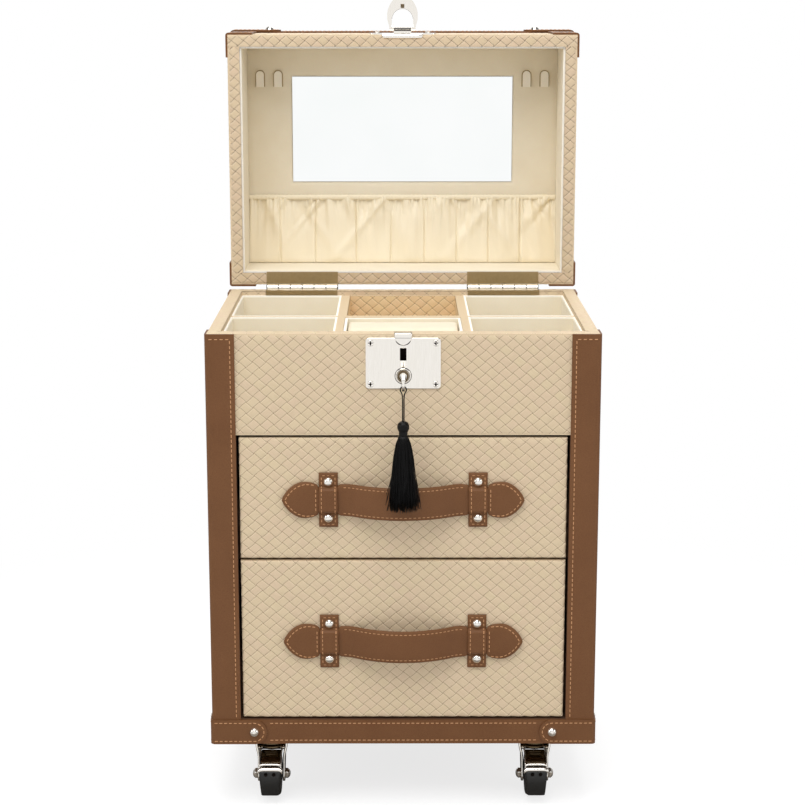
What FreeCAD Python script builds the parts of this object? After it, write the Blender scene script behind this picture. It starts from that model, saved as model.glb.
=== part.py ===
import FreeCAD, Part
import math
import os

V = FreeCAD.Vector
os.makedirs("parts", exist_ok=True)

# Chest frame while building: X across, Y from the woven front face to the back, Z up from the floor (mm)
# Case
CASE_W = 375.0          # across the woven sides
CASE_D = 270.0          # woven front face to woven back face
BASE_Z = 70.0           # underside of the base board above the floor
BODY_H = 414.0          # base underside to rim
WALL = 12.5             # board with its outer cover
SKIN = 1.5              # woven cover
RIM_SKIN = 1.2          # cover folded over the rim
BASE_T = 25.0           # base board
SHELF_T = 10.0          # shelf and tray floor
FASCIA_H = 99.0         # fixed front panel of the tray
REVEAL = 2.5            # dark gap round each drawer front

# Leather trim
LEATHER = 2.2           # straps and bands
POST_W = 28.5           # corner strap, front leg
POST_SIDE = 24.0        # corner strap, side leg
BAND_H = 24.5           # band round the base and round the lid top
PATCH_T = 1.6           # patch over each band corner
PATCH_L = 56.0          # patch leg, rounded end included
PATCH_H = 25.0          # patch height
TRIM_R = 3.0            # rounding of a wrapped edge
RIVET_D = 10.0          # ball rivet
RIVET_H = 4.0

# Drawers
UPPER_H = 121.0         # upper drawer front
FRONT_T = 14.0          # drawer front with its cover
BOX_T = 8.0             # drawer box board
BOX_DROP = 8.0          # drawer box below the top of its front
BOX_BACK = 7.5          # drawer box to the back board
TRAVEL = 170.0          # drawer pull
RUN = 0.6               # running clearance of a drawer
GUIDE_H = 50.0          # side guide rail

# Leather handle
STRAP_L = 235.0         # tip to tip
STRAP_T = 4.0
STRAP_H = 32.0          # grip between the keepers
LEAF_H = 36.0           # leaf at each end
NECK_H = 18.0           # neck under a keeper
BOW = 17.5              # outward bow of the grip
BEND_R = 30.0           # bend where the grip leaves the keeper
KEEPER_X = 72.5         # keeper centre
KEEPER_W = 18.5
KEEPER_H = 54.0
KEEPER_RIVET = 18.0     # rivet centre above and below the strap's middle

# Tray
PART_X = 62.5           # centre of the long partitions
PART_T = 7.6
CROSS_Y = 124.0         # centre of the cross partitions
CROSS_T = 6.0
TRAY_DROP = 4.5         # partition tops below the rim
CARD = 2.0              # suede-covered card of the liners
RING_FLOOR = 32.0       # ring tray floor below its top edge
RING_SLIT = 2.0         # slit between the ring rolls
ROLL_H = 27.0

# Lid
LID_H = 100.0
LID_GAP = 3.0           # rim to rim when closed
LID_TOP_T = 10.5        # top board
PAD_T = 12.0            # padded panel inside the top
MIRROR_W = 246.0
MIRROR_H = 117.0
MIRROR_T = 3.0
MIRROR_Y = 106.0        # mirror centre behind the front face of the closed lid
PEG_IN = (36.5, 16.5)   # peg centres in from the inner face of the side walls
PEG_Y = 50.0
PEG_W = 8.5
PEG_L = 17.5
PEG_T = 6.0
POCKET_N = 9            # pocket panels between seams
POCKET_H = 75.0
POCKET_BULGE = (4.0, 11.0, 16.0)   # at the mouth, half way down and at the bottom
CLOTH = 1.0
SEAM = 2.0              # flat sewn strip between two panels

# Hinges
HINGE_X = 110.0
HINGE_W = 78.0
KNUCKLES = 6
BARREL_R = 3.5
HINGE_PIN_R = 1.5
LEAF_T = 1.2
FIT = 0.05              # radial running fit of pins and axles

# Lock, hasp, key and tassel
PLATE_W = 72.4
PLATE_H = 50.0
PLATE_T = 1.8
PLATE_DROP = 3.4        # plate top below the rim
PLUG_R = 5.5
PLUG_DROP = 37.0        # plug axis below the plate top
RING_R = 7.6            # raised ring round the plug
SLOT_W = 6.0
SLOT_H = 12.0
SLOT_DROP = 16.2        # slot centre below the plate top
SCREW_D = 6.0
SCREW_IN = 5.0          # screw centre in from the plate edges
CASE_X = 56.0           # lock case
CASE_H = 42.5
CASE_Y = 10.5
CAM_T = 2.2
SEAT_W = 17.0
SEAT_OUT = 7.0
SEAT_DROP = 5.4         # seat top below the hasp axis of the closed lid
SEAT_STEP = 4.0         # straight part above the half round
HASP_W = 32.6
HASP_L = 36.0
HASP_T = 2.6
HASP_HOLE_W = 22.8
HASP_HOLE_L = 20.0
HASP_EYE_R = 3.5
HASP_PIN_R = 1.25
STAPLE_W = 3.2
STAPLE_H = 5.5
HPLATE_W = 72.0
HPLATE_H = 28.0
KEY_FACE = 3.0          # plug face in front of the woven front
STEM_L = 19.6
BOW_R = 9.0
BOW_HOLE = 5.5
BOW_T = 2.4
CORD_R = 0.6
CORD_GAP = 0.2          # between the two strands
LOOP_R = 2.9
TASSEL_DROP = 30.4      # key limb to the tassel head
HEAD_H = 11.0
HEAD_D = 11.6
NECK_D = 8.4
SKIRT_L = 76.0
SKIRT_W = 33.0
SKIRT_T = 13.0

# Casters
CASTER_X = 134.0
CASTER_Y = 52.0         # swivel axis in from the front and from the back
WHEEL_D = 44.0
WHEEL_W = 20.0
TRAIL = 16.0
FORK_W = 27.0
FORK_T = 2.0
AXLE_R = 3.0
NUT_OUT = 5.7
TOP_PLATE = 46.0
TOP_T = 2.5
CUP_R = 17.0
CUP_H = 5.0
DISC_R = 18.0
DISC_T = 4.1
RACE = 0.4              # play of the swivel

# Derived levels
HX = CASE_W / 2
RIM_Z = BASE_Z + BODY_H
BASE_TOP = BASE_Z + BASE_T
IN_X = HX - WALL
IN_Y0 = WALL
IN_Y1 = CASE_D - WALL
FASCIA_Z = RIM_Z - FASCIA_H
UPPER_Z1 = FASCIA_Z - REVEAL
UPPER_Z0 = UPPER_Z1 - UPPER_H
LOWER_Z1 = UPPER_Z0 - REVEAL
LOWER_Z0 = BASE_TOP + 2.0
OPEN_X = HX + LEATHER - POST_W
FRONT_X = OPEN_X - REVEAL
BOX_D = IN_Y1 - BOX_BACK - FRONT_T
SHELF_Z = LOWER_Z1 - 3.0
SHELF_TOP = SHELF_Z + SHELF_T
TRAY_Z = FASCIA_Z + SHELF_T
TRAY_TOP = RIM_Z - TRAY_DROP
AXIS_Y = CASE_D + BARREL_R
AXIS_Z = RIM_Z + LID_GAP / 2
LID_Z0 = RIM_Z + LID_GAP
LID_Z1 = LID_Z0 + LID_H
PAD_Z = LID_Z1 - SKIN - LID_TOP_T - PAD_T
PLATE_Z1 = RIM_Z - PLATE_DROP
PLUG_Z = PLATE_Z1 - PLUG_DROP
SLOT_Z = PLATE_Z1 - SLOT_DROP
HASP_Z = SLOT_Z + 27.5
HASP_Y = -(PLATE_T + 0.3 + 5.4)
BOW_Y = -(KEY_FACE + STEM_L + BOW_R - 0.6)
LIMB_Z = PLUG_Z - (BOW_R + BOW_HOLE) / 2
AXLE_Z = WHEEL_D / 2
# the part frame has its origin in the middle of the bounding box, on the floor
FRONT_END = BOW_Y - BOW_R
BACK_END = AXIS_Y + LID_Z1 - AXIS_Z
CENTRE_Y = (FRONT_END + BACK_END) / 2


def box(x0, x1, y0, y1, z0, z1):
    return Part.makeBox(x1 - x0, y1 - y0, z1 - z0, V(x0, y0, z0))


def rod(r, p, d, length):
    return Part.makeCylinder(r, length, V(*p), V(*d))


def mirrored(shape):
    return shape.mirror(V(0, 0, 0), V(1, 0, 0))


def front_to_back(shape):
    """The same piece at the back of the case: mirrored about the middle of its depth."""
    return shape.mirror(V(0, CASE_D / 2, 0), V(0, 1, 0))


def both(shape):
    return [shape, mirrored(shape)]


def four(shape):
    pair = both(shape)
    return pair + [front_to_back(s) for s in pair]


def fused(shapes):
    solid = shapes[0].multiFuse(shapes[1:])
    return solid.removeSplitter()


def wire(points):
    """Closed wire through points; a triple (start, mid, end) among them is an arc."""
    edges = []
    last = None
    first = None
    for item in points:
        if isinstance(item, tuple):
            start, mid, end = item
            if last is not None and last.distanceToPoint(start) > 1e-7:
                edges.append(Part.LineSegment(last, start).toShape())
            edges.append(Part.Arc(start, mid, end).toShape())
            first = first or start
            last = end
        else:
            if last is not None and last.distanceToPoint(item) > 1e-7:
                edges.append(Part.LineSegment(last, item).toShape())
            first = first or item
            last = item
    if last.distanceToPoint(first) > 1e-7:
        edges.append(Part.LineSegment(last, first).toShape())
    return Part.Wire(edges)


def prism(points, direction):
    return Part.Face(wire(points)).extrude(V(*direction))


def rounded_plate(w, h, t, r, centre, y0):
    """Upright plate with rounded corners, its back at y0 and t thick towards the front."""
    x, z = centre
    plate = box(x - w / 2, x + w / 2, y0 - t, y0, z - h / 2, z + h / 2)
    corners = [e for e in plate.Edges if abs(e.tangentAt(e.FirstParameter).y) > 0.99]
    return plate.makeFillet(r, corners)


def dome(centre, normal, d=RIVET_D, h=RIVET_H):
    """Ball rivet: a spherical cap of diameter d and height h on a flat seat."""
    r = (d * d / 4 + h * h) / (2 * h)
    ball = Part.makeSphere(r, V(0, 0, h - r))
    cap = ball.common(box(-d, d, -d, d, 0, 2 * d))
    cap.rotate(V(0, 0, 0), V(0, 0, 1).cross(V(*normal)), 90)
    cap.translate(V(*centre))
    return cap


def screw(centre, axis, head_d, head_h, shank_r, shank_l, cross=True):
    """Cross-head screw: head on the plate, shank as long as the plate is thick."""
    c = V(*centre)
    n = V(*axis)
    head = Part.makeCylinder(head_d / 2, head_h, c, n)
    shank = Part.makeCylinder(shank_r, shank_l, c, n * -1)
    body = head.fuse(shank)
    if cross:
        for w, h in ((head_d * 0.62, head_d * 0.14), (head_d * 0.14, head_d * 0.62)):
            cut = box(c.x - w / 2, c.x + w / 2, c.y - head_h - 1, c.y - head_h / 2, c.z - h / 2, c.z + h / 2)
            body = body.cut(cut)
    return body.removeSplitter()


def corner_wrap(x, y, t, r_out, r_in, x_end, y_end, z0, z1):
    """Leather wrapped round a front right upright edge: legs to x_end and y_end, t thick."""
    ro = r_out
    k = 1 - math.sqrt(0.5)
    xo = x + t
    yo = y - t
    outer = (V(xo - ro, yo, z0), V(xo - ro * k, yo + ro * k, z0), V(xo, yo + ro, z0))
    points = [V(x_end, y, z0), V(x_end, yo, z0), outer, V(xo, y_end, z0), V(x, y_end, z0)]
    if r_in > 0:
        points.append((V(x, y + r_in, z0), V(x - r_in * k, y + r_in * k, z0), V(x - r_in, y, z0)))
    else:
        points.append(V(x, y, z0))
    return prism(points, (0, 0, z1 - z0))


def patch(z0, z1):
    """Corner patch over a band: two legs with half-round ends."""
    x = HX + LEATHER
    y = -LEATHER
    r = (z1 - z0) / 2
    zc = (z0 + z1) / 2
    x_end = x + PATCH_T - PATCH_L
    y_end = y - PATCH_T + PATCH_L
    body = corner_wrap(x, y, PATCH_T, TRIM_R + PATCH_T, TRIM_R, x_end, y_end, z0, z1)
    ends = box(x_end - 1, x_end + r, y - 9, y + 9, z0 - 1, z1 + 1)
    ends = ends.cut(rod(r, (x_end + r, y - 9, zc), (0, 1, 0), 18))
    body = body.cut(ends)
    ends = box(x - 9, x + 9, y_end - r, y_end + 1, z0 - 1, z1 + 1)
    ends = ends.cut(rod(r, (x - 9, y_end - r, zc), (1, 0, 0), 18))
    return body.cut(ends)


def patch_rivets(zc):
    out = PATCH_L - PATCH_H / 2
    x = HX + LEATHER + PATCH_T
    y = -LEATHER - PATCH_T
    return [dome((x - out, y, zc), (0, -1, 0)), dome((x, y + out, zc), (1, 0, 0))]


def band(z0, z1):
    out = box(-HX - LEATHER, HX + LEATHER, -LEATHER, CASE_D + LEATHER, z0, z1)
    upright = [e for e in out.Edges if abs(e.tangentAt(e.FirstParameter).z) > 0.99]
    return out.makeFillet(TRIM_R, upright).cut(box(-HX, HX, 0, CASE_D, z0 - 1, z1 + 1))


def straps(z0, z1):
    one = corner_wrap(HX, 0, LEATHER, TRIM_R, 0, OPEN_X, POST_SIDE, z0, z1)
    return four(one)


def card_box(x0, x1, y0, y1, z0, z1, t):
    """Liner of five cards: floor, two sides, back and front."""
    return [
        box(x0, x1, y0, y1, z0, z0 + t),
        box(x0, x0 + t, y0, y1, z0 + t, z1),
        box(x1 - t, x1, y0, y1, z0 + t, z1),
        box(x0 + t, x1 - t, y0, y0 + t, z0 + t, z1),
        box(x0 + t, x1 - t, y1 - t, y1, z0 + t, z1),
    ]


def group(shapes):
    return Part.makeCompound(shapes)


def lid_open(shape):
    """Swings a piece of the closed lid up about the hinge axis, to the pose at rest."""
    out = shape.copy()
    out.rotate(V(0, AXIS_Y, AXIS_Z), V(1, 0, 0), -90)
    return out


def hasp_up(shape):
    out = shape.copy()
    out.rotate(V(0, HASP_Y, HASP_Z), V(1, 0, 0), -90)
    return lid_open(out)


def save(name, shapes):
    shape = shapes if isinstance(shapes, Part.Shape) else group(shapes)
    out = shape.copy()
    out.translate(V(0, -CENTRE_Y, 0))
    out.exportStep("parts/%s.step" % name)


# Case boards
side = box(IN_X, HX - SKIN, SKIN, IN_Y1, BASE_TOP, RIM_Z - RIM_SKIN)
save("side_panels", both(side))
save("back_panel", box(SKIN - HX, HX - SKIN, IN_Y1, CASE_D - SKIN, BASE_TOP, RIM_Z - RIM_SKIN))
save("base_board", box(-HX, HX, 0, CASE_D, BASE_Z, BASE_TOP))
shelf = box(-IN_X, IN_X, FRONT_T + 2, IN_Y1, SHELF_Z, SHELF_TOP)
tray_floor = box(-IN_X, IN_X, IN_Y0, IN_Y1, FASCIA_Z, TRAY_Z)
save("shelves", [shelf, tray_floor])
case_x = CASE_X / 2
case_z1 = PLATE_Z1 - 6.5
mortise = box(-case_x, case_x, -5, CASE_Y, case_z1 - CASE_H, case_z1)
fascia = box(-IN_X, IN_X, SKIN, IN_Y0, FASCIA_Z, RIM_Z - RIM_SKIN)
save("fascia_board", fascia.cut(mortise))
stile = box(OPEN_X, IN_X, 0, FRONT_T, BASE_TOP, FASCIA_Z)
guides = [stile]
for z in (BASE_TOP, SHELF_TOP):
    guides.append(box(FRONT_X + RUN - 0.5, IN_X, FRONT_T + 2, IN_Y1, z, z + GUIDE_H))
save("drawer_guides", [s for g in guides for s in both(g)])

# Woven covers: one sheet round the sides and back, turned over the rim, and one on the fascia
outer = box(-HX, HX, 0, CASE_D, BASE_TOP, RIM_Z)
inner = box(SKIN - HX, HX - SKIN, SKIN, CASE_D - SKIN, BASE_TOP - 1, RIM_Z - RIM_SKIN)
well = box(-IN_X, IN_X, IN_Y0, IN_Y1, BASE_TOP - 1, RIM_Z + 1)
front_open = box(-IN_X, IN_X, -1, SKIN, BASE_TOP - 1, RIM_Z - RIM_SKIN)
case_cover = outer.cut(inner).cut(well).cut(front_open)
fascia_cover = box(-IN_X, IN_X, 0, SKIN, FASCIA_Z, RIM_Z - RIM_SKIN).cut(mortise)
save("woven_covers", [case_cover, fascia_cover])

# Leather trim of the case
save("corner_straps", straps(BASE_Z + BAND_H, RIM_Z))
save("base_band", band(BASE_Z, BASE_Z + BAND_H))
patch_z0 = BASE_TOP - PATCH_H
save("base_corner_patches", four(patch(patch_z0, patch_z0 + PATCH_H)))
rivets = patch_rivets(patch_z0 + PATCH_H / 2)
save("base_rivets", [s for r in rivets for s in four(r)])

# Tray: partitions with the woven well, suede liners and the ring tray
long_x0 = PART_X - PART_T / 2
long_x1 = PART_X + PART_T / 2
cross_y0 = CROSS_Y - CROSS_T / 2
cross_y1 = CROSS_Y + CROSS_T / 2
parts = both(box(long_x0, long_x1, IN_Y0, IN_Y1, TRAY_Z, TRAY_TOP))
parts += both(box(long_x1, IN_X, cross_y0, cross_y1, TRAY_Z, TRAY_TOP))
parts.append(box(-long_x0, long_x0, cross_y0, cross_y1, TRAY_Z, TRAY_TOP))
parts += card_box(-long_x0, long_x0, cross_y1, IN_Y1, TRAY_Z, TRAY_TOP, SKIN)
save("tray_partitions", parts)
liners = []
for y0, y1 in ((IN_Y0, cross_y0), (cross_y1, IN_Y1)):
    for piece in card_box(long_x1, IN_X, y0, y1, TRAY_Z, TRAY_TOP, CARD):
        liners += both(piece)
save("tray_liners", liners)
ring_y0 = IN_Y0 + 0.3
ring_y1 = cross_y0 - 0.3
ring_x = long_x0 - 0.3
ring_top = TRAY_TOP - 1.0
ring = card_box(-ring_x, ring_x, ring_y0, ring_y1, TRAY_Z, ring_top, 2.5)
ring[0] = box(2.5 - ring_x, ring_x - 2.5, ring_y0 + 2.5, ring_y1 - 2.5,
              ring_top - RING_FLOOR, ring_top - RING_FLOOR + 2.5)
save("ring_tray", ring)
roll_w = (ring_y1 - ring_y0 - 5.0 - RING_SLIT) / 2
roll_z = ring_top - RING_FLOOR + 2.5
rolls = []
for i in (0, 1):
    y0 = ring_y0 + 2.5 + i * (roll_w + RING_SLIT)
    y1 = y0 + roll_w
    side_z = roll_z + ROLL_H * 0.62
    yc = (y0 + y1) / 2
    x = ring_x - 2.5
    section = [
        V(-x, y0 + 0.6, roll_z),
        (V(-x, y0, side_z - 4), V(-x, y0 + 1.4, side_z + 2.4), V(-x, y0 + 6, roll_z + ROLL_H - 2.2)),
        (V(-x, y0 + 6, roll_z + ROLL_H - 2.2), V(-x, yc, roll_z + ROLL_H), V(-x, y1 - 6, roll_z + ROLL_H - 2.2)),
        (V(-x, y1 - 6, roll_z + ROLL_H - 2.2), V(-x, y1 - 1.4, side_z + 2.4), V(-x, y1, side_z - 4)),
        V(-x, y1 - 0.6, roll_z),
    ]
    rolls.append(prism(section, (2 * x, 0, 0)))
save("ring_rolls", rolls)

# Lock plate with its ring, slot and hasp seat
plate_zc = PLATE_Z1 - PLATE_H / 2
plate = rounded_plate(PLATE_W, PLATE_H, PLATE_T, 2.5, (0, plate_zc), 0)
plate = plate.fuse(rod(RING_R, (0, -KEY_FACE, PLUG_Z), (0, 1, 0), KEY_FACE - 0.5))
plate = plate.cut(rod(PLUG_R + FIT, (0, -9, PLUG_Z), (0, 1, 0), 18))
plate = plate.cut(box(-SLOT_W / 2, SLOT_W / 2, -9, 9, SLOT_Z - SLOT_H / 2, SLOT_Z + SLOT_H / 2))
screw_at = []
for x in (SCREW_IN - PLATE_W / 2, PLATE_W / 2 - SCREW_IN):
    for z in (PLATE_Z1 - SCREW_IN, PLATE_Z1 - PLATE_H + SCREW_IN):
        screw_at.append((x, z))
        plate = plate.cut(rod(SCREW_D * 0.3, (x, -9, z), (0, 1, 0), 18))
seat_r = SEAT_W / 2
seat_y = -PLATE_T - SEAT_OUT
seat_z1 = HASP_Z - SEAT_DROP
seat_zc = seat_z1 - SEAT_STEP
seat = rod(seat_r, (0, seat_y, seat_zc), (0, 1, 0), SEAT_OUT)
seat = seat.cut(box(-SEAT_W, SEAT_W, 2 * seat_y, 0, seat_zc, seat_zc + SEAT_W))
seat = seat.fuse(box(-seat_r, seat_r, seat_y, -PLATE_T, seat_zc, seat_z1)).removeSplitter()
front_edges = [e for e in seat.Edges if e.BoundBox.YMax < seat_y + 0.01]
save("lock_plate", [plate.removeSplitter(), seat.makeFillet(SEAT_OUT * 0.23, front_edges)])
lock_case = mortise.common(box(-case_x, case_x, 0, CASE_Y, 0, RIM_Z))
wall = 1.5
lock_case = lock_case.cut(box(wall - case_x, case_x - wall, -1, CASE_Y - wall,
                              case_z1 - CASE_H + wall, case_z1 - wall))
save("lock_case", lock_case)

# Plug with its cam: the cam's finger passes through the staple when it is turned up
blade_w = 1.9
blade_h = 7.0
keyway = box(-blade_w / 2 - FIT, blade_w / 2 + FIT, -9, 20, PLUG_Z - blade_h / 2 - 0.1, PLUG_Z + blade_h / 2 + 0.1)
plug = rod(PLUG_R, (0, -KEY_FACE, PLUG_Z), (0, 1, 0), KEY_FACE + 2.1).cut(keyway)
staple_z = HASP_Z - 22.0 - STAPLE_H / 2
reach = staple_z - PLUG_Z
cam_y = 2.1
cam = rod(6.0, (0, cam_y, PLUG_Z), (0, 1, 0), CAM_T)
cam = cam.fuse(box(-9.0, -4.5, cam_y, cam_y + CAM_T, PLUG_Z + 1, PLUG_Z + reach - 1.2))
finger = rod(reach + 1.2, (0, cam_y, PLUG_Z), (0, 1, 0), CAM_T)
finger = finger.cut(rod(reach - 1.2, (0, cam_y - 1, PLUG_Z), (0, 1, 0), CAM_T + 2))
cam = cam.fuse(finger.common(box(-9.0, 4.0, cam_y - 1, cam_y + 9, PLUG_Z + 5, PLUG_Z + 50)))
cam.rotate(V(0, 0, PLUG_Z), V(0, 1, 0), -90)
cam = cam.cut(keyway).removeSplitter()
save("lock_plug", [plug, cam])

# Key, edge on to the front, with its ring bow
key = rod(2.0, (0, -KEY_FACE - STEM_L - 0.6, PLUG_Z), (0, 1, 0), STEM_L + 0.6)
key = key.fuse(rod(3.4, (0, -KEY_FACE - 2.0, PLUG_Z), (0, 1, 0), 2.0))
bow = rod(BOW_R, (-BOW_T / 2, BOW_Y, PLUG_Z), (1, 0, 0), BOW_T)
key = key.fuse(bow)
key = key.cut(rod(BOW_HOLE, (-BOW_T, BOW_Y, PLUG_Z), (1, 0, 0), 2 * BOW_T))
blade = box(-blade_w / 2, blade_w / 2, -KEY_FACE, 7.5, PLUG_Z - blade_h / 2, PLUG_Z + blade_h / 2)
blade = blade.cut(box(-5, 5, 2.5, 4.0, PLUG_Z - 5, PLUG_Z - 2)).cut(box(-5, 5, 5.5, 7.0, PLUG_Z - 5, PLUG_Z - 1.4))
key = key.fuse(blade)
save("key", key.removeSplitter())

# Tassel cord: two strands up from the head and a loop round the bow's lower limb
line_x = CORD_R + CORD_GAP / 2
fillet = 3.0
drop = math.sqrt((LOOP_R + fillet) ** 2 - (line_x + fillet) ** 2)
tx = (line_x + fillet) * LOOP_R / (LOOP_R + fillet)
tz = drop * LOOP_R / (LOOP_R + fillet)
fx = line_x + fillet
head_z = LIMB_Z - TASSEL_DROP
turn = math.atan2(drop - tz, fx - tx) / 2
mid_x = fx - fillet * math.cos(turn)
mid_z = -drop + fillet * math.sin(turn)
half = math.atan2(-tz, -tx)
up = (half + 2 * math.pi + math.pi / 2) / 2


def at(x, z):
    return V(x, BOW_Y, LIMB_Z + z)


left = [
    Part.LineSegment(V(-line_x, BOW_Y, head_z), at(-line_x, -drop)).toShape(),
    Part.Arc(at(-line_x, -drop), at(-mid_x, mid_z), at(-tx, -tz)).toShape(),
    Part.Arc(at(-tx, -tz), at(LOOP_R * math.cos(up), LOOP_R * math.sin(up)), at(0, LOOP_R)).toShape(),
]
right = [
    Part.Arc(at(0, LOOP_R), at(-LOOP_R * math.cos(up), LOOP_R * math.sin(up)), at(tx, -tz)).toShape(),
    Part.Arc(at(tx, -tz), at(mid_x, mid_z), at(line_x, -drop)).toShape(),
    Part.LineSegment(at(line_x, -drop), V(line_x, BOW_Y, head_z)).toShape(),
]
path = Part.Wire(left + right)
circle = Part.Wire(Part.Circle(V(-line_x, BOW_Y, head_z), V(0, 0, 1), CORD_R).toShape())
cord = path.makePipeShell([circle], True, False)
save("tassel_cord", cord)
print("cord radii", fillet, LOOP_R, "volume", cord.Volume, "section x length", math.pi * CORD_R ** 2 * path.Length)


def ellipse_ring(w, d, z):
    """Upright section of the tassel skirt: two flats joined by quarter arcs."""
    r = d / 2
    f = max(w / 2 - r, 0.2)
    q = r * math.sqrt(0.5)
    y = BOW_Y
    return wire([
        V(-f, y - r, z), V(f, y - r, z),
        (V(f, y - r, z), V(f + q, y - q, z), V(f + r, y, z)),
        (V(f + r, y, z), V(f + q, y + q, z), V(f, y + r, z)),
        V(-f, y + r, z),
        (V(-f, y + r, z), V(-f - q, y + q, z), V(-f - r, y, z)),
        (V(-f - r, y, z), V(-f - q, y - q, z), V(-f, y - r, z)),
    ])


# Tassel: bound head and neck over a flattened, flaring skirt
neck_z = head_z - HEAD_H - 3.0
head = Part.makeCone(HEAD_D * 0.36, HEAD_D / 2, 3.0, V(0, BOW_Y, head_z), V(0, 0, -1))
head = head.fuse(rod(HEAD_D / 2, (0, BOW_Y, head_z - HEAD_H + 2.5), (0, 0, 1), HEAD_H - 5.5))
head = head.fuse(Part.makeCone(HEAD_D / 2, NECK_D / 2, 2.5, V(0, BOW_Y, head_z - HEAD_H + 2.5), V(0, 0, -1)))
head = head.fuse(rod(NECK_D / 2, (0, BOW_Y, neck_z), (0, 0, 1), 3.0))
skirt = Part.makeLoft([
    ellipse_ring(NECK_D - 0.6, NECK_D * 0.72, neck_z),
    ellipse_ring(NECK_D + (SKIRT_W - NECK_D) * 0.52, SKIRT_T * 0.86, neck_z - SKIRT_L * 0.4),
    ellipse_ring(SKIRT_W, SKIRT_T, neck_z - SKIRT_L),
], True, True)
save("tassel", fused([head, skirt]))

# Hinges
knuckle = HINGE_W / KNUCKLES
body_leaves = []
lid_leaves = []
hinge_pins = []
for cx in (-HINGE_X, HINGE_X):
    x0 = cx - HINGE_W / 2
    x1 = cx + HINGE_W / 2
    bore = rod(HINGE_PIN_R + FIT, (x0 - 1, AXIS_Y, AXIS_Z), (1, 0, 0), HINGE_W + 2)
    low = box(x0, x1, IN_Y1 - LEAF_T, AXIS_Y, RIM_Z, RIM_Z + LEAF_T)
    low = low.fuse(box(x0, x1, IN_Y1 - LEAF_T, IN_Y1, TRAY_TOP + 0.2, RIM_Z + LEAF_T))
    high = box(x0, x1, IN_Y1 - LEAF_T, AXIS_Y, LID_Z0 - LEAF_T, LID_Z0)
    high = high.fuse(box(x0, x1, IN_Y1 - LEAF_T, IN_Y1, LID_Z0 - LEAF_T, LID_Z0 + 3.0))
    for i in range(KNUCKLES):
        k0 = x0 + i * knuckle
        ring_piece = rod(BARREL_R, (k0 + 0.15, AXIS_Y, AXIS_Z), (1, 0, 0), knuckle - 0.3)
        slot = box(k0 - 0.15, k0 + knuckle + 0.15, CASE_D - 0.4, AXIS_Y + 9, RIM_Z - 9, LID_Z0 + 9)
        if i % 2 == 0:
            low = low.fuse(ring_piece)
            high = high.cut(slot)
        else:
            high = high.fuse(ring_piece)
            low = low.cut(slot)
    body_leaves.append(low.cut(bore).removeSplitter())
    lid_leaves.append(high.cut(bore).removeSplitter())
    hinge_pins.append(rod(HINGE_PIN_R, (x0 + 0.15, AXIS_Y, AXIS_Z), (1, 0, 0), HINGE_W - 0.3))
save("hinge_body_leaves", body_leaves)
save("hinge_lid_leaves", [lid_open(s) for s in lid_leaves])

# Lid, drawn closed and stored open
walls = both(box(IN_X, HX - SKIN, IN_Y0, IN_Y1, LID_Z0 + RIM_SKIN, PAD_Z + PAD_T))
front_wall = box(SKIN - HX, HX - SKIN, SKIN, IN_Y0, LID_Z0 + RIM_SKIN, PAD_Z + PAD_T)
walls += [front_wall, front_to_back(front_wall)]
save("lid_walls", [lid_open(s) for s in walls])
top = box(SKIN - HX, HX - SKIN, SKIN, CASE_D - SKIN, PAD_Z + PAD_T, LID_Z1 - SKIN)
save("lid_top_board", lid_open(top))
cover = box(-HX, HX, 0, CASE_D, LID_Z0, LID_Z1)
cover = cover.cut(box(SKIN - HX, HX - SKIN, SKIN, CASE_D - SKIN, LID_Z0 + RIM_SKIN, LID_Z1 - SKIN))
cover = cover.cut(box(-IN_X, IN_X, IN_Y0, IN_Y1, LID_Z0 - 1, LID_Z0 + RIM_SKIN + 1))
save("lid_woven_cover", lid_open(cover))
lid_band_z0 = LID_Z1 - 0.6 - BAND_H
save("lid_corner_straps", [lid_open(s) for s in straps(LID_Z0, lid_band_z0)])
save("lid_band", lid_open(band(lid_band_z0, lid_band_z0 + BAND_H)))
lid_patch_z0 = lid_band_z0 - 1.5
save("lid_corner_patches", [lid_open(s) for s in four(patch(lid_patch_z0, lid_patch_z0 + PATCH_H))])
rivets = patch_rivets(lid_patch_z0 + PATCH_H / 2)
lid_rivets = [lid_open(s) for r in rivets for s in four(r)]
lining = both(box(IN_X - CARD, IN_X, IN_Y0, IN_Y1, LID_Z0 + 2.0, PAD_Z))
lining.append(box(CARD - IN_X, IN_X - CARD, IN_Y0, IN_Y0 + CARD, LID_Z0 + 2.0, PAD_Z))
lining.append(box(CARD - IN_X, IN_X - CARD, IN_Y1 - CARD, IN_Y1, LID_Z0 + 3.2, PAD_Z))
save("lid_lining", [lid_open(s) for s in lining])
pad = box(-IN_X, IN_X, IN_Y0, IN_Y1, PAD_Z, PAD_Z + PAD_T)
glass = box(-MIRROR_W / 2, MIRROR_W / 2, MIRROR_Y - MIRROR_H / 2, MIRROR_Y + MIRROR_H / 2,
            PAD_Z + 0.4, PAD_Z + 0.4 + MIRROR_T)
recess = box(-MIRROR_W / 2 - 0.3, MIRROR_W / 2 + 0.3, MIRROR_Y - MIRROR_H / 2 - 0.3, MIRROR_Y + MIRROR_H / 2 + 0.3,
             PAD_Z - 1, PAD_Z + 0.4 + MIRROR_T)
save("lid_padded_panel", lid_open(pad.cut(recess)))
save("mirror", lid_open(glass))
pegs = []
for x in (IN_X - PEG_IN[0], IN_X - PEG_IN[1]):
    peg_y = PEG_Y - PEG_L / 2 + PEG_W / 2
    peg = rod(PEG_W / 2, (x, peg_y, PAD_Z - PEG_T), (0, 0, 1), PEG_T)
    peg = peg.fuse(box(x - PEG_W / 2, x + PEG_W / 2, peg_y, PEG_Y + PEG_L / 2, PAD_Z - PEG_T, PAD_Z))
    pegs += both(peg.removeSplitter())
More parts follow.
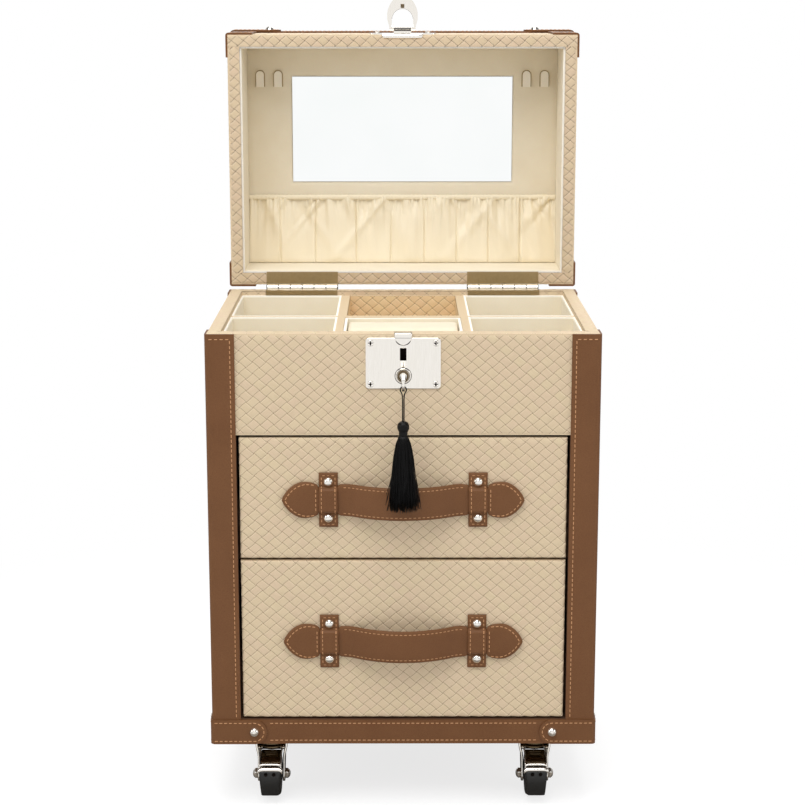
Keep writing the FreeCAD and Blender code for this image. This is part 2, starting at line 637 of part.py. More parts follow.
save("necklace_pegs", [lid_open(s) for s in pegs])

# Gathered pocket: panels bulge between flat seams, shallow at the elastic mouth and full at the bottom
pocket_x = IN_X - CARD - 0.5
pitch = 2 * pocket_x / POCKET_N
mouth_y = IN_Y1 - CARD - POCKET_H
bottom_y = IN_Y1 - CARD - 0.2


def pocket_section(y, bulge):
    """Cloth section across the pocket: arcs of the given bulge between sewn strips, CLOTH thick."""
    front = []
    rear = []
    z_flat = PAD_Z - CLOTH
    for i in range(POCKET_N):
        a = -pocket_x + i * pitch + SEAM / 2
        b = a + pitch - SEAM
        m = (a + b) / 2
        front.append((V(a, y, z_flat), V(m, y, z_flat - bulge + CLOTH), V(b, y, z_flat)))
        rear.append((V(a + CLOTH, y, PAD_Z), V(m, y, PAD_Z - bulge + CLOTH), V(b - CLOTH, y, PAD_Z)))
    start = [V(-pocket_x, y, PAD_Z), V(-pocket_x, y, z_flat)]
    end = [V(pocket_x, y, z_flat), V(pocket_x, y, PAD_Z)]
    back = [(c, m, a) for a, m, c in reversed(rear)]
    return wire(start + front + end + back)


mouth, middle, bottom = POCKET_BULGE
half_y = (mouth_y + bottom_y) / 2
sheet = Part.makeLoft([
    pocket_section(mouth_y, mouth),
    pocket_section(half_y, middle),
    pocket_section(bottom_y - CLOTH, bottom),
], True, True)
full = []
for i in range(POCKET_N):
    a = -pocket_x + i * pitch + SEAM / 2
    b = a + pitch - SEAM
    z = PAD_Z - CLOTH
    y = bottom_y - CLOTH
    full.append(prism([V(a, y, PAD_Z), (V(a, y, z), V((a + b) / 2, y, z - bottom + CLOTH), V(b, y, z)),
                       V(b, y, PAD_Z)], (0, CLOTH, 0)))
save("pocket", lid_open(fused([sheet] + full)))

# Hasp plate on the lid's front wall, hasp pin, and the hasp drawn hanging
hz0 = LID_Z0 + 1.5
hplate = rounded_plate(HPLATE_W, HPLATE_H, 1.5, 6.0, (0, hz0 + HPLATE_H / 2), 0)
barrel = rod(HASP_EYE_R, (-9.5, HASP_Y, HASP_Z), (1, 0, 0), 19.0)
web = box(-9.5, 9.5, HASP_Y, -0.5, HASP_Z - 1.5, HASP_Z + HASP_EYE_R)
hplate = hplate.fuse(barrel).fuse(web).cut(rod(HASP_PIN_R + FIT, (-20, HASP_Y, HASP_Z), (1, 0, 0), 40))
hscrew_z = hz0 + HPLATE_H - 8.0
hscrews = []
for x in (-27.0, 27.0):
    hplate = hplate.cut(rod(SCREW_D * 0.3, (x, -9, hscrew_z), (0, 1, 0), 18))
    hscrews.append(screw((x, -1.5, hscrew_z), (0, -1, 0), SCREW_D, 1.6, SCREW_D * 0.3, 1.5))
hasp_pin = rod(HASP_PIN_R, (-14.0, HASP_Y, HASP_Z), (1, 0, 0), 28.0)
save("hasp_plate", lid_open(hplate.removeSplitter()))
save("hinge_pins", [lid_open(s) for s in hinge_pins + [hasp_pin]])
save("lid_rivets", lid_rivets + [lid_open(s) for s in hscrews])
hy = HASP_Y + 5.4
hw = HASP_W / 2
hole = HASP_HOLE_W / 2
tip = HASP_Z - HASP_L
arch = prism([
    V(-14.0, hy, HASP_Z), V(14.0, hy, HASP_Z),
    V(hw, hy, HASP_Z - 9),
    (V(hw, hy, HASP_Z - 15), V(hw * 0.72, hy, HASP_Z - 27), V(2.0, hy, tip + 0.6)),
    (V(2.0, hy, tip + 0.6), V(0, hy, tip), V(-2.0, hy, tip + 0.6)),
    (V(-2.0, hy, tip + 0.6), V(-hw * 0.72, hy, HASP_Z - 27), V(-hw, hy, HASP_Z - 15)),
    V(-hw, hy, HASP_Z - 9),
], (0, -HASP_T, 0))
hole_z = HASP_Z - HASP_HOLE_L + hole
gap = box(-hole, hole, hy - 9, hy + 9, hole_z, HASP_Z + 9)
gap = gap.fuse(rod(hole, (0, hy - 9, hole_z), (0, 1, 0), 18))
arch = arch.cut(gap.cut(box(-99, 99, hy - 20, hy + 20, HASP_Z + 1, HASP_Z + 99)))
eyes = [rod(HASP_EYE_R, (9.8, HASP_Y, HASP_Z), (1, 0, 0), 4.2), rod(HASP_EYE_R, (-14.0, HASP_Y, HASP_Z), (1, 0, 0), 4.2)]
hasp = arch.multiFuse(eyes)
staple = box(-STAPLE_W / 2, STAPLE_W / 2, hy - 1, hy + 8.0, HASP_Z - 22.0 - STAPLE_H, HASP_Z - 22.0)
window = box(-9, 9, cam_y - 0.5, cam_y + CAM_T + 0.5, staple_z - 1.7, staple_z + 1.7)
hasp = hasp.fuse(staple.cut(window))
hasp = hasp.cut(rod(HASP_PIN_R + FIT, (-20, HASP_Y, HASP_Z), (1, 0, 0), 40))
save("hasp", hasp_up(hasp.removeSplitter()))


# Drawers
def handle_outline(zc):
    """Front outline of the strap: leaf, neck and grip, as one closed wire at y 9."""
    tip_x = STRAP_L / 2
    leaf = LEAF_H / 2
    neck = NECK_H / 2
    grip = STRAP_H / 2
    k0 = KEEPER_X - KEEPER_W / 2
    k1 = KEEPER_X + KEEPER_W / 2

    def p(x, z):
        return V(x, 9, zc + z)

    upper = [
        (p(tip_x, 0), p(tip_x - 5.5, leaf * 0.64), p(tip_x - 18, leaf)),
        (p(tip_x - 18, leaf), p(k1 + 10, leaf * 0.97), p(k1 + 4, leaf * 0.78)),
        p(k1 + 1, neck), p(k0, neck),
        (p(k0 - 2, neck + 3.5), p(k0 - 5, grip * 0.93), p(k0 - 12, grip)),
    ]
    flip = [(p(-c.x, c.z - zc), p(-m.x, m.z - zc), p(-a.x, a.z - zc)) if isinstance(i, tuple) else None
            for i in upper for a, m, c in [i if isinstance(i, tuple) else (None, None, None)]]
    left = []
    for i, arc in zip(reversed(upper), reversed(flip)):
        left.append(arc if arc else V(-i.x, 9, i.z))
    top_half = upper + left
    low = []
    for i in reversed(top_half):
        if isinstance(i, tuple):
            a, m, c = i
            low.append(tuple(V(q.x, 9, 2 * zc - q.z) for q in (c, m, a)))
        else:
            low.append(V(i.x, 9, 2 * zc - i.z))
    return top_half + low


def strap(zc):
    """Leather strap: flat ends, a bend, and a bowed grip, cut to the handle outline."""
    t = STRAP_T / 2
    yc = -t
    bend_x = KEEPER_X - KEEPER_W / 2 - 2.0
    turn_a = 2 * math.atan(BOW / bend_x)
    big = bend_x / math.sin(turn_a) - BEND_R
    z0 = zc - LEAF_H
    apex = yc - BOW

    def bend(sign, off, a):
        r = BEND_R + off
        return V(sign * (bend_x - r * math.sin(a)), yc - BEND_R + r * math.cos(a), z0)

    def crown(a, off):
        r = big - off
        return V(r * math.sin(a), apex + big - r * math.cos(a), z0)

    def face_line(off):
        return [
            V(STRAP_L / 2 + 1, yc + off, z0),
            (bend(1, off, 0), bend(1, off, turn_a / 2), bend(1, off, turn_a)),
            (crown(turn_a, off), crown(0, off), crown(-turn_a, off)),
            (bend(-1, off, turn_a), bend(-1, off, turn_a / 2), bend(-1, off, 0)),
            V(-STRAP_L / 2 - 1, yc + off, z0),
        ]

    outside = face_line(-t)
    inside = []
    for i in reversed(face_line(t)):
        inside.append(i[::-1] if isinstance(i, tuple) else i)
    ribbon = prism(outside + inside, (0, 0, 2 * LEAF_H))
    return ribbon.common(prism(handle_outline(zc), (0, -60, 0)))


def keeper(x, zc):
    """Leather keeper: flat ends riveted to the front, raised over the strap's neck."""
    e = KEEPER_H / 2
    n = NECK_H / 2
    y1 = -STRAP_T - 0.3
    y2 = y1 - LEATHER
    x0 = x - KEEPER_W / 2
    section = [(0, -e), (-LEATHER, -e), (-LEATHER, -n - 4), (y2, -n - 1.8), (y2, n + 1.8), (-LEATHER, n + 4),
               (-LEATHER, e), (0, e), (0, n + 1.2), (y1, n + 0.3), (y1, -n - 0.3), (0, -n - 1.2)]
    return prism([V(x0, y, zc + z) for y, z in section], (KEEPER_W, 0, 0))


def drawer(name, z0, z1, floor_z, box_h):
    zc = (z0 + z1) / 2 - 1.0
    save(name + "_drawer_front", box(-FRONT_X, FRONT_X, 0, FRONT_T, z0, z1))
    b0 = floor_z + 0.4
    bx = FRONT_X - 0.5
    y1 = FRONT_T + BOX_D
    boards = both(box(bx - BOX_T, bx, FRONT_T, y1, b0, b0 + box_h))
    boards.append(box(BOX_T - bx, bx - BOX_T, FRONT_T, y1 - BOX_T, b0, b0 + 6.0))
    boards.append(box(BOX_T - bx, bx - BOX_T, y1 - BOX_T, y1, b0, b0 + box_h))
    save(name + "_drawer_box", boards)
    save(name + "_strap", strap(zc))
    save(name + "_keepers", both(keeper(KEEPER_X, zc)))
    pegs = []
    for z in (zc - KEEPER_RIVET, zc + KEEPER_RIVET):
        pegs += both(dome((KEEPER_X, -LEATHER, z), (0, -1, 0)))
    save(name + "_handle_rivets", pegs)
    inside = (bx - BOX_T, FRONT_T, y1 - BOX_T, b0 + 6.0, b0 + box_h)
    print(name, "drawer inside x y0 y1 z0 z1", inside, "handle z", zc)


drawer("upper", UPPER_Z0, UPPER_Z1, SHELF_TOP, UPPER_Z1 - SHELF_TOP - BOX_DROP)
drawer("lower", LOWER_Z0, LOWER_Z1, BASE_TOP, LOWER_Z1 - BASE_TOP - BOX_DROP)


# Casters
def caster(name, sx, cy, way, brake):
    """Swivel caster at (sx, cy): wheel trails by TRAIL along way (-1 to the front), pedal if braked."""
    plate_z = BASE_Z - TOP_T
    cup_z = plate_z - CUP_H
    disc_z1 = cup_z - RACE
    disc_z0 = disc_z1 - DISC_T
    head_z1 = disc_z0 - RACE
    p = TOP_PLATE / 2
    plate = box(sx - p, sx + p, cy - p, cy + p, plate_z, BASE_Z)
    plate = plate.fuse(rod(CUP_R, (sx, cy, cup_z), (0, 0, 1), CUP_H))
    plate = plate.fuse(rod(4.0, (sx, cy, head_z1), (0, 0, 1), cup_z - head_z1))
    plate = plate.fuse(rod(6.5, (sx, cy, head_z1 - 1.6), (0, 0, 1), 1.6))
    screws = []
    for dx in (-18.0, 18.0):
        for dy in (-18.0, 18.0):
            at_screw = (sx + dx, cy + dy, plate_z)
            plate = plate.cut(rod(2.0, (sx + dx, cy + dy, plate_z - 3), (0, 0, 1), 9))
            screws.append(screw(at_screw, (0, 0, -1), 7.0, 1.2, 2.0, TOP_T, False))
    ay = cy + way * TRAIL
    x_in = FORK_W / 2 - FORK_T
    fork = rod(DISC_R, (sx, cy, disc_z0), (0, 0, 1), DISC_T)
    leg = prism([V(sx + x_in, cy - 13, disc_z0 + 1), V(sx + x_in, cy + 13, disc_z0 + 1),
                 V(sx + x_in, ay + 7.5, AXLE_Z - 2), V(sx + x_in, ay - 7.5, AXLE_Z - 2)], (FORK_T, 0, 0))
    leg = leg.fuse(rod(8.0, (sx + x_in, ay, AXLE_Z), (1, 0, 0), FORK_T))
    other = leg.copy()
    other.translate(V(-2 * x_in - FORK_T, 0, 0))
    fork = fork.multiFuse([leg, other])
    fork = fork.cut(rod(4.0 + FIT, (sx, cy, disc_z0 - 1), (0, 0, 1), DISC_T + 2))
    w = FORK_W / 2 + NUT_OUT
    fork = fork.cut(rod(AXLE_R + 0.02, (sx - w, ay, AXLE_Z), (1, 0, 0), 2 * w))
    axle = rod(AXLE_R, (sx - w, ay, AXLE_Z), (1, 0, 0), 2 * w)
    for x in (sx - w + 1.2, sx + FORK_W / 2):
        axle = axle.fuse(rod(5.6, (x, ay, AXLE_Z), (1, 0, 0), NUT_OUT - 1.2))
    pivot_a = math.radians(75)
    pivot_r = WHEEL_D / 2 + 4.0
    py = ay - way * pivot_r * math.cos(pivot_a)
    pz = AXLE_Z + pivot_r * math.sin(pivot_a)
    if brake:
        fork = fork.cut(rod(2.0 + FIT, (sx - w, py, pz), (1, 0, 0), 2 * w))
    save("fork_" + name, [fork.removeSplitter(), axle.removeSplitter()])
    hw2 = WHEEL_W / 2
    tyre = rod(WHEEL_D / 2, (sx - hw2, ay, AXLE_Z), (1, 0, 0), WHEEL_W)
    rims = [e for e in tyre.Edges if e.BoundBox.XLength < 1e-6 and e.BoundBox.ZLength > 1]
    tyre = tyre.makeFillet(2.5, rims)
    hub = rod(15.0, (sx - hw2, ay, AXLE_Z), (1, 0, 0), WHEEL_W)
    tyre = tyre.cut(hub)
    hub = hub.cut(rod(AXLE_R + FIT, (sx - hw2 - 1, ay, AXLE_Z), (1, 0, 0), WHEEL_W + 2))
    save("wheel_" + name, [tyre, hub])
    if brake:
        r0 = WHEEL_D / 2 + 3.0
        lever = sector(sx, ay, r0, r0 + 2.0, 8.0, 8.0, 76, 192, way)
        eye = rod(3.5, (sx - 11.2, py, pz), (1, 0, 0), 22.4)
        pin = rod(2.0, (sx - 13.4, py, pz), (1, 0, 0), 26.8)
        lever = fused([lever, eye, pin])
        cap = sector(sx, ay, r0 + 2.0, r0 + 5.5, 11.5, 9.0, 150, 201, way)
        c = math.radians(160)
        d = V(0, -way * math.cos(c), math.sin(c))
        for dx in (-4.0, 4.0):
            hole_p = V(sx + dx, ay, AXLE_Z) + d * (r0 + 2.0)
            cap = cap.cut(Part.makeCylinder(1.6, 9, hole_p, d))
        save("pedal_" + name, [lever, cap])
        print(name, "pedal pivot", py - CENTRE_Y, pz)
    print(name, "swivel", sx, cy - CENTRE_Y, "axle", ay - CENTRE_Y, AXLE_Z)
    return plate.removeSplitter(), screws


def sector(sx, ay, r0, r1, wide, narrow, a0, a1, way):
    """Plate curved round the wheel from angle a0 to a1 (90 is up, 180 to the trailing side)."""

    def at_angle(r, a):
        c = math.radians(a)
        return V(sx - 20, ay - way * r * math.cos(c), AXLE_Z + r * math.sin(c))

    m = (a0 + a1) / 2
    ring_piece = prism([
        (at_angle(r0, a0), at_angle(r0, m), at_angle(r0, a1)),
        (at_angle(r1, a1), at_angle(r1, m), at_angle(r1, a0)),
    ], (40, 0, 0))
    z0 = AXLE_Z + r1 * math.sin(math.radians(a1)) - 1
    z1 = AXLE_Z + r1 + 1
    ymin = ay - r1 - 2
    keep = prism([V(sx - narrow, ymin, z0), V(sx + narrow, ymin, z0), V(sx + wide, ymin, z1), V(sx - wide, ymin, z1)],
                 (0, 2 * r1 + 4, 0))
    return ring_piece.common(keep)


plates = []
screws = []
for name, sx, cy, way, brake in (
    ("front_left", -CASTER_X, CASTER_Y, -1, True),
    ("front_right", CASTER_X, CASTER_Y, -1, True),
    ("rear_left", -CASTER_X, CASE_D - CASTER_Y, 1, False),
    ("rear_right", CASTER_X, CASE_D - CASTER_Y, 1, False),
):
    made_plate, made_screws = caster(name, sx, cy, way, brake)
    plates.append(made_plate)
    screws += made_screws
save("caster_plates", plates)
for x, z in screw_at:
    screws.append(screw((x, -PLATE_T, z), (0, -1, 0), SCREW_D, 1.3, SCREW_D * 0.3, PLATE_T))
save("case_screws", screws)

print("centre y", CENTRE_Y)
print("lid axis", AXIS_Y - CENTRE_Y, AXIS_Z)
hasp_rest_y = AXIS_Y + HASP_Z - AXIS_Z
hasp_rest_z = AXIS_Z + AXIS_Y - HASP_Y
print("hasp axis at rest", hasp_rest_y - CENTRE_Y, hasp_rest_z)
print("plug z", PLUG_Z, "limb", BOW_Y - CENTRE_Y, LIMB_Z)
print("front face y", -CENTRE_Y, "rim z", RIM_Z, "lid top y", BACK_END - CENTRE_Y)
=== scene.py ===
import math

import bmesh
import bpy
import numpy as np
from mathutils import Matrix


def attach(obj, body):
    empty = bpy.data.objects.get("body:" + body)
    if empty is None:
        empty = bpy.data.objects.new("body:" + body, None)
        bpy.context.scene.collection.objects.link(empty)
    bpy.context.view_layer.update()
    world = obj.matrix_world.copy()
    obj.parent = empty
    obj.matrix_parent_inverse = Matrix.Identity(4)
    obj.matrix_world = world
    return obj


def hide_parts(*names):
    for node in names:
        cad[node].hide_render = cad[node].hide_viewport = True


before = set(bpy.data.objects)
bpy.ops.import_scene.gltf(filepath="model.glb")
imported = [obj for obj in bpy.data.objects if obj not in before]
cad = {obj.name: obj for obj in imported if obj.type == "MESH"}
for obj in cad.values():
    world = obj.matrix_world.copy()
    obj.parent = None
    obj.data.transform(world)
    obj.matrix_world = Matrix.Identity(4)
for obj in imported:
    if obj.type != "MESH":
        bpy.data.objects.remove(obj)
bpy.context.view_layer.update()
scene = bpy.context.scene

# Viewpoint: a long lens about 1.7 m in front of the chest and 0.8 m above the floor,
# turned down by 11 degrees, as the photograph shows the tray and the open lid.
lens = bpy.data.cameras.new("viewpoint")
lens.lens, lens.sensor_width, lens.shift_y = 81.91, 36.0, -0.05
viewpoint = bpy.data.objects.new("viewpoint", lens)
viewpoint.location = (-0.00496, -1.88324, 0.79935)
viewpoint.rotation_euler = (math.pi / 2 - 0.1972, 0.0, -0.0025)
scene.collection.objects.link(viewpoint)
scene.camera = viewpoint
scene.view_settings.view_transform = "Standard"


# Studio: a pale floor that keeps the chest's shadow, a white surround, and five soft lamps.
# The lamps and the surround together light a white card to about 1.
def linear(code):
    """sRGB hex to linear colour: c / 12.92 for dark values, else ((c + 0.055) / 1.055) to the power 2.4."""
    c = np.array([int(code[i:i + 2], 16) for i in (1, 3, 5)]) / 255
    c = np.where(c <= 0.04045, c / 12.92, ((c + 0.055) / 1.055) ** 2.4)
    return (*c.tolist(), 1.0)


def add(tree, kind, settings={}, values={}, links={}):
    """Adds a node with its settings, its fixed input values, and its linked inputs (a node or a socket)."""
    made = tree.nodes.new("ShaderNode" + kind)
    for key, value in settings.items():
        setattr(made, key, value)
    for key, value in values.items():
        made.inputs[key].default_value = value
    for key, source in links.items():
        tree.links.new(source if hasattr(source, "is_linked") else source.outputs[0], made.inputs[key])
    return made


def new_material(name):
    made = bpy.data.materials.new(name)
    made.use_nodes = True
    made.node_tree.nodes.clear()
    return made, made.node_tree


scene.world = bpy.data.worlds.new("surround")
scene.world.use_nodes = True
tree = scene.world.node_tree
tree.nodes.clear()
ray = add(tree, "LightPath")
seen = add(tree, "Math", {"operation": "MAXIMUM"}, {},
           {0: ray.outputs["Is Camera Ray"], 1: ray.outputs["Is Transmission Ray"]})
soft = add(tree, "Background", {}, {"Color": (1, 1, 1, 1), "Strength": 0.50})
white = add(tree, "Background", {}, {"Color": (1, 1, 1, 1), "Strength": 1.0})
both = add(tree, "MixShader", {}, {}, {0: seen, 1: soft, 2: white})
# In metal and glass the surround is white in front and behind, with dark flags at both sides and a grey ceiling.
way = add(tree, "TexCoord")
way = add(tree, "SeparateXYZ", {}, {}, {0: way.outputs["Generated"]})
aside = add(tree, "Math", {"operation": "ABSOLUTE"}, {}, {0: way.outputs[0]})
SMOOTH = {"interpolation_type": "SMOOTHSTEP"}
flag = add(tree, "MapRange", SMOOTH, {"From Min": 0.42, "From Max": 0.80, "To Min": 1.0, "To Max": 0.30}, {"Value": aside})
ceiling = add(tree, "MapRange", SMOOTH, {"From Min": 0.35, "From Max": 0.85, "To Min": 1.0, "To Max": 0.22},
              {"Value": way.outputs[2]})
flag = add(tree, "Math", {"operation": "MULTIPLY"}, {}, {0: flag, 1: ceiling})
mirrored = add(tree, "Background", {}, {"Color": (1, 1, 1, 1)}, {"Strength": flag})
both = add(tree, "MixShader", {}, {}, {0: ray.outputs["Is Glossy Ray"], 1: both, 2: mirrored})
add(tree, "OutputWorld", {}, {}, {"Surface": both})

floor_paper, tree = new_material("pale_floor_paper")
ray = add(tree, "LightPath")
where = add(tree, "TexCoord")
mottle = add(tree, "TexNoise", {}, {"Scale": 3.0, "Detail": 2.0}, {"Vector": where.outputs["Object"]})
COLOUR = {"data_type": "RGBA"}
tint = add(tree, "Mix", COLOUR, {6: linear("#e4e4e4"), 7: linear("#e8e8e8")}, {0: mottle})
paper = add(tree, "BsdfDiffuse", {}, {}, {"Color": tint.outputs[2]})
# Seen directly it keeps a faint shadow round the chest and fades to white a metre away; in metal it is grey near it.
away = add(tree, "VectorMath", {"operation": "LENGTH"}, {}, {0: where.outputs["Object"]})
fade = add(tree, "MapRange", SMOOTH, {"From Min": 0.30, "From Max": 0.85}, {"Value": away.outputs["Value"]})
shown = add(tree, "BsdfDiffuse", {}, {"Color": linear("#969696")})
lift = add(tree, "Emission", {}, {"Color": (1, 1, 1, 1), "Strength": 0.76})
shown = add(tree, "AddShader", {}, {}, {0: shown, 1: lift})
white = add(tree, "Emission", {}, {"Color": (1, 1, 1, 1), "Strength": 1.0})
shown = add(tree, "MixShader", {}, {}, {0: fade, 1: shown, 2: white})
grey = add(tree, "BsdfDiffuse", {}, {"Color": linear("#8d8780")})
mirrored = add(tree, "MixShader", {}, {}, {0: fade, 1: grey, 2: white})
both = add(tree, "MixShader", {}, {}, {0: ray.outputs["Is Camera Ray"], 1: paper, 2: shown})
both = add(tree, "MixShader", {}, {}, {0: ray.outputs["Is Glossy Ray"], 1: both, 2: mirrored})
add(tree, "OutputMaterial", {}, {}, {"Surface": both})
floor_mesh = bpy.data.meshes.new("floor")
floor_mesh.from_pydata([(-9, -9, 0), (9, -9, 0), (9, 9, 0), (-9, 9, 0)], [], [(0, 1, 2, 3)])
floor_mesh.materials.append(floor_paper)
floor = bpy.data.objects.new("floor", floor_mesh)
scene.collection.objects.link(floor)

for name, place, aim, size, power in (
    ("key_lamp", (-0.35, -1.5, 3.0), (0.0, 0.0, 0.45), 1.9, 56),
    ("top_lamp", (0.0, 0.1, 3.2), (0.0, 0.0, 0.45), 1.6, 18),
    ("left_lamp", (-2.2, -1.0, 1.3), (0.0, 0.0, 0.40), 1.4, 10),
    ("right_lamp", (2.2, -1.0, 1.3), (0.0, 0.0, 0.40), 1.4, 10),
    ("back_lamp", (0.3, 2.3, 2.2), (0.0, 0.0, 0.50), 1.8, 20),
):
    lamp = bpy.data.lights.new(name, "AREA")
    lamp.size, lamp.energy = size, power
    stand = bpy.data.objects.new(name, lamp)
    way = np.array(aim) - np.array(place)
    stand.location = place
    stand.rotation_euler = (math.acos(-way[2] / np.linalg.norm(way)), 0.0, math.atan2(way[1], way[0]) - math.pi / 2)
    scene.collection.objects.link(stand)


# Tassel: a doubled rayon cord looped round the lower limb of the key's bow, a head of folded threads
# bound at the neck, and a skirt of loose cut threads. It hangs from the key and rides with it.
def quads(rows, cols, loop_rows=False, loop_cols=False):
    """Quads of a grid of rows by cols points, closed on itself along either way if asked."""
    i = np.arange(rows if loop_rows else rows - 1)[:, None]
    j = np.arange(cols if loop_cols else cols - 1)[None, :]
    i1, j1 = (i + 1) % rows, (j + 1) % cols
    return np.stack(np.broadcast_arrays(i * cols + j, i * cols + j1, i1 * cols + j1, i1 * cols + j), -1).reshape(-1, 4)


def xyz(x, y, z):
    """Points from three coordinates, each a number or an array that fits the others."""
    return np.stack(np.broadcast_arrays(x, y, z), -1)


def piece(name, body, material, points, faces, slot, replaces=None, closed=False, uv=None):
    """A mesh from points in millimetres and faces, smooth shaded, riding a body and, where one is named, in place of a
    CAD node; a closed one is merged and turned outward. The slot is not used."""
    mesh = bpy.data.meshes.new(name)
    mesh.from_pydata((np.asarray(points).reshape(-1, 3) * 0.001).tolist(), [], [list(map(int, f)) for f in faces])
    if uv is not None:
        layer = mesh.uv_layers.new(name="lay")
        at = np.empty(len(mesh.loops), dtype=np.int32)
        mesh.loops.foreach_get("vertex_index", at)
        layer.data.foreach_set("uv", np.asarray(uv, dtype=np.float32).reshape(-1, 2)[at].ravel())
    if closed:
        work = bmesh.new()
        work.from_mesh(mesh)
        bmesh.ops.remove_doubles(work, verts=work.verts, dist=1e-6)
        bmesh.ops.dissolve_degenerate(work, edges=work.edges, dist=1e-7)
        bmesh.ops.recalc_face_normals(work, faces=work.faces)
        work.to_mesh(mesh)
        work.free()
    mesh.shade_smooth()
    mesh.materials.append(material)
    made = bpy.data.objects.new(name, mesh)
    scene.collection.objects.link(made)
    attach(made, body)
    if replaces:
        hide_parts(replaces)
    return made


def grained(name, dark, pale, scale, detail, surface, relief=None, gloss=None, stretch=None):
    """A material with one grain: noise in the object's coordinates, so many grains to a metre, stretched if asked, mixes two
    tones. It may also raise the surface, by a strength and a depth in metres, and set the roughness between two values."""
    made, tree = new_material(name)
    spot = add(tree, "TexCoord").outputs["Object"]
    if stretch:
        spot = add(tree, "Mapping", {}, {"Scale": stretch}, {"Vector": spot})
    grain = add(tree, "TexNoise", {}, {"Scale": scale, "Detail": detail}, {"Vector": spot})
    links = {"Base Color": add(tree, "Mix", COLOUR, {6: linear(dark), 7: linear(pale)}, {0: grain}).outputs[2]}
    if relief:
        links["Normal"] = add(tree, "Bump", {}, {"Strength": relief[0], "Distance": relief[1]}, {"Height": grain})
    if gloss:
        links["Roughness"] = add(tree, "MapRange", {}, {"To Min": gloss[0], "To Max": gloss[1]}, {"Value": grain})
    shade = add(tree, "BsdfPrincipled", {}, surface, links)
    add(tree, "OutputMaterial", {}, {}, {"Surface": shade})
    return made


# Rayon thread: dyed black, with a soft shine along the fibre; the grain of 0.7 mm is coarser than the fibre, so that it shows.
black_rayon = grained("black_rayon_thread", "#020202", "#0c0b0b", 1500.0, 2.0, {"Roughness": 0.32, "Specular IOR Level": 0.18},
                      relief=(0.4, 0.0002), stretch=(1.0, 1.0, 0.06))

LIMB_Y, LIMB_Z, HEAD_Z = -198.5, 436.35, 405.95
route = [(-0.7, -30.4), (-0.7, -17.0), (-0.7, -4.4), (-2.9, -1.2), (-2.9, 1.2), (-1.2, 2.9),
         (1.2, 2.9), (2.9, 1.2), (2.9, -1.2), (0.7, -4.4), (0.7, -17.0), (0.7, -30.4)]
curve = bpy.data.curves.new("tassel_loop", "CURVE")
curve.dimensions, curve.bevel_depth, curve.bevel_resolution, curve.resolution_u = "3D", 0.0006, 3, 8
spline = curve.splines.new("NURBS")
spline.points.add(len(route) - 1)
spline.points.foreach_set("co", [v for x, z in route for v in (x * 1e-3, LIMB_Y * 1e-3, (LIMB_Z + z) * 1e-3, 1.0)])
spline.order_u = 3
spline.use_endpoint_u = True
curve.materials.append(black_rayon)
tassel_loop = bpy.data.objects.new("tassel_loop", curve)
scene.collection.objects.link(tassel_loop)
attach(tassel_loop, "tassel")
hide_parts("tassel_cord")

# Head and neck: a turned profile whose radius carries the folded threads as ridges and, at the neck, the binding's turns.
level, girth = np.array([(0.0, 0.1), (-0.4, 2.6), (-1.6, 4.4), (-3.2, 5.4), (-5.5, 5.8), (-7.6, 5.5), (-9.2, 4.9), (-10.4, 4.2),
                         (-10.7, 4.35), (-11.1, 4.1), (-11.5, 4.4), (-11.9, 4.1), (-12.3, 4.4), (-12.7, 4.1), (-13.1, 4.35),
                         (-13.5, 4.1), (-13.9, 3.9)]).T
angle = np.linspace(0, 2 * np.pi, 72, endpoint=False)
folds = 1 + 0.045 * np.abs(np.sin(9 * angle))[None, :] * np.clip((level + 10.4) / 2, 0, 1)[:, None]
radius = girth[:, None] * folds * 0.97
points = xyz(radius * np.cos(angle), LIMB_Y + radius * np.sin(angle), HEAD_Z + level[:, None])
faces = quads(len(level), 72, loop_cols=True)
tassel_head = piece("tassel_head", "tassel", black_rayon, points, faces, "black_cord", closed=True)

# Skirt: 420 threads, each a three-sided tube of nine rings that leaves the neck, swells out quickly to its place in an
# oval of 33 by 13 mm, and wavers; one in four strays outward at its cut end, and a dark core fills the middle.
rng = np.random.default_rng(7)
count = 420
fall = np.linspace(0, 1, 9)
place = np.sqrt(rng.uniform(0.10, 1.0, count)) * 0.97
turn = rng.uniform(0, 2 * np.pi, count)
length = np.where(rng.uniform(0, 1, count) < 0.3, rng.uniform(58.0, 70.0, count), rng.uniform(68.0, 75.6, count))
reach = np.interp(fall, [0, 0.12, 0.3, 0.6, 0.9, 1], [3.9, 7.2, 9.6, 11.6, 13.4, 14.0])
stray = np.where(rng.uniform(0, 1, count) < 0.28, rng.uniform(1.0, 5.2, count), 0)[:, None] * fall ** 2.5
wave = rng.uniform(0, 2 * np.pi, (2, count, 1))
sway = 1.3 * np.sin(wave + fall * rng.uniform(2, 7, (2, count, 1))) * fall
x = (place * np.cos(turn))[:, None] * reach + np.cos(turn)[:, None] * stray + sway[0]
y = LIMB_Y + (place * np.sin(turn))[:, None] * np.interp(fall, [0, 0.12, 1], [3.4, 4.4, 5.6]) + sway[1] * 0.5
z = HEAD_Z - 13.6 - length[:, None] * fall
thin = 0.46 * (1 - 0.25 * fall)
around = np.array([0.4, 2.5, 4.6])
points = xyz(x[..., None] + thin[:, None] * np.cos(around), y[..., None] + thin[:, None] * np.sin(around), z[..., None])
one = quads(9, 3, loop_cols=True)
start = 27 * np.arange(count)[:, None, None]
faces, ends = (one + start).reshape(-1, 4), (np.array([[2, 1, 0], [24, 25, 26]]) + start).reshape(-1, 3)
piece("tassel_skirt", "tassel", black_rayon, points, list(faces) + list(ends), "black_cord", "tassel")
level = np.linspace(0, 1, 12)[:, None]
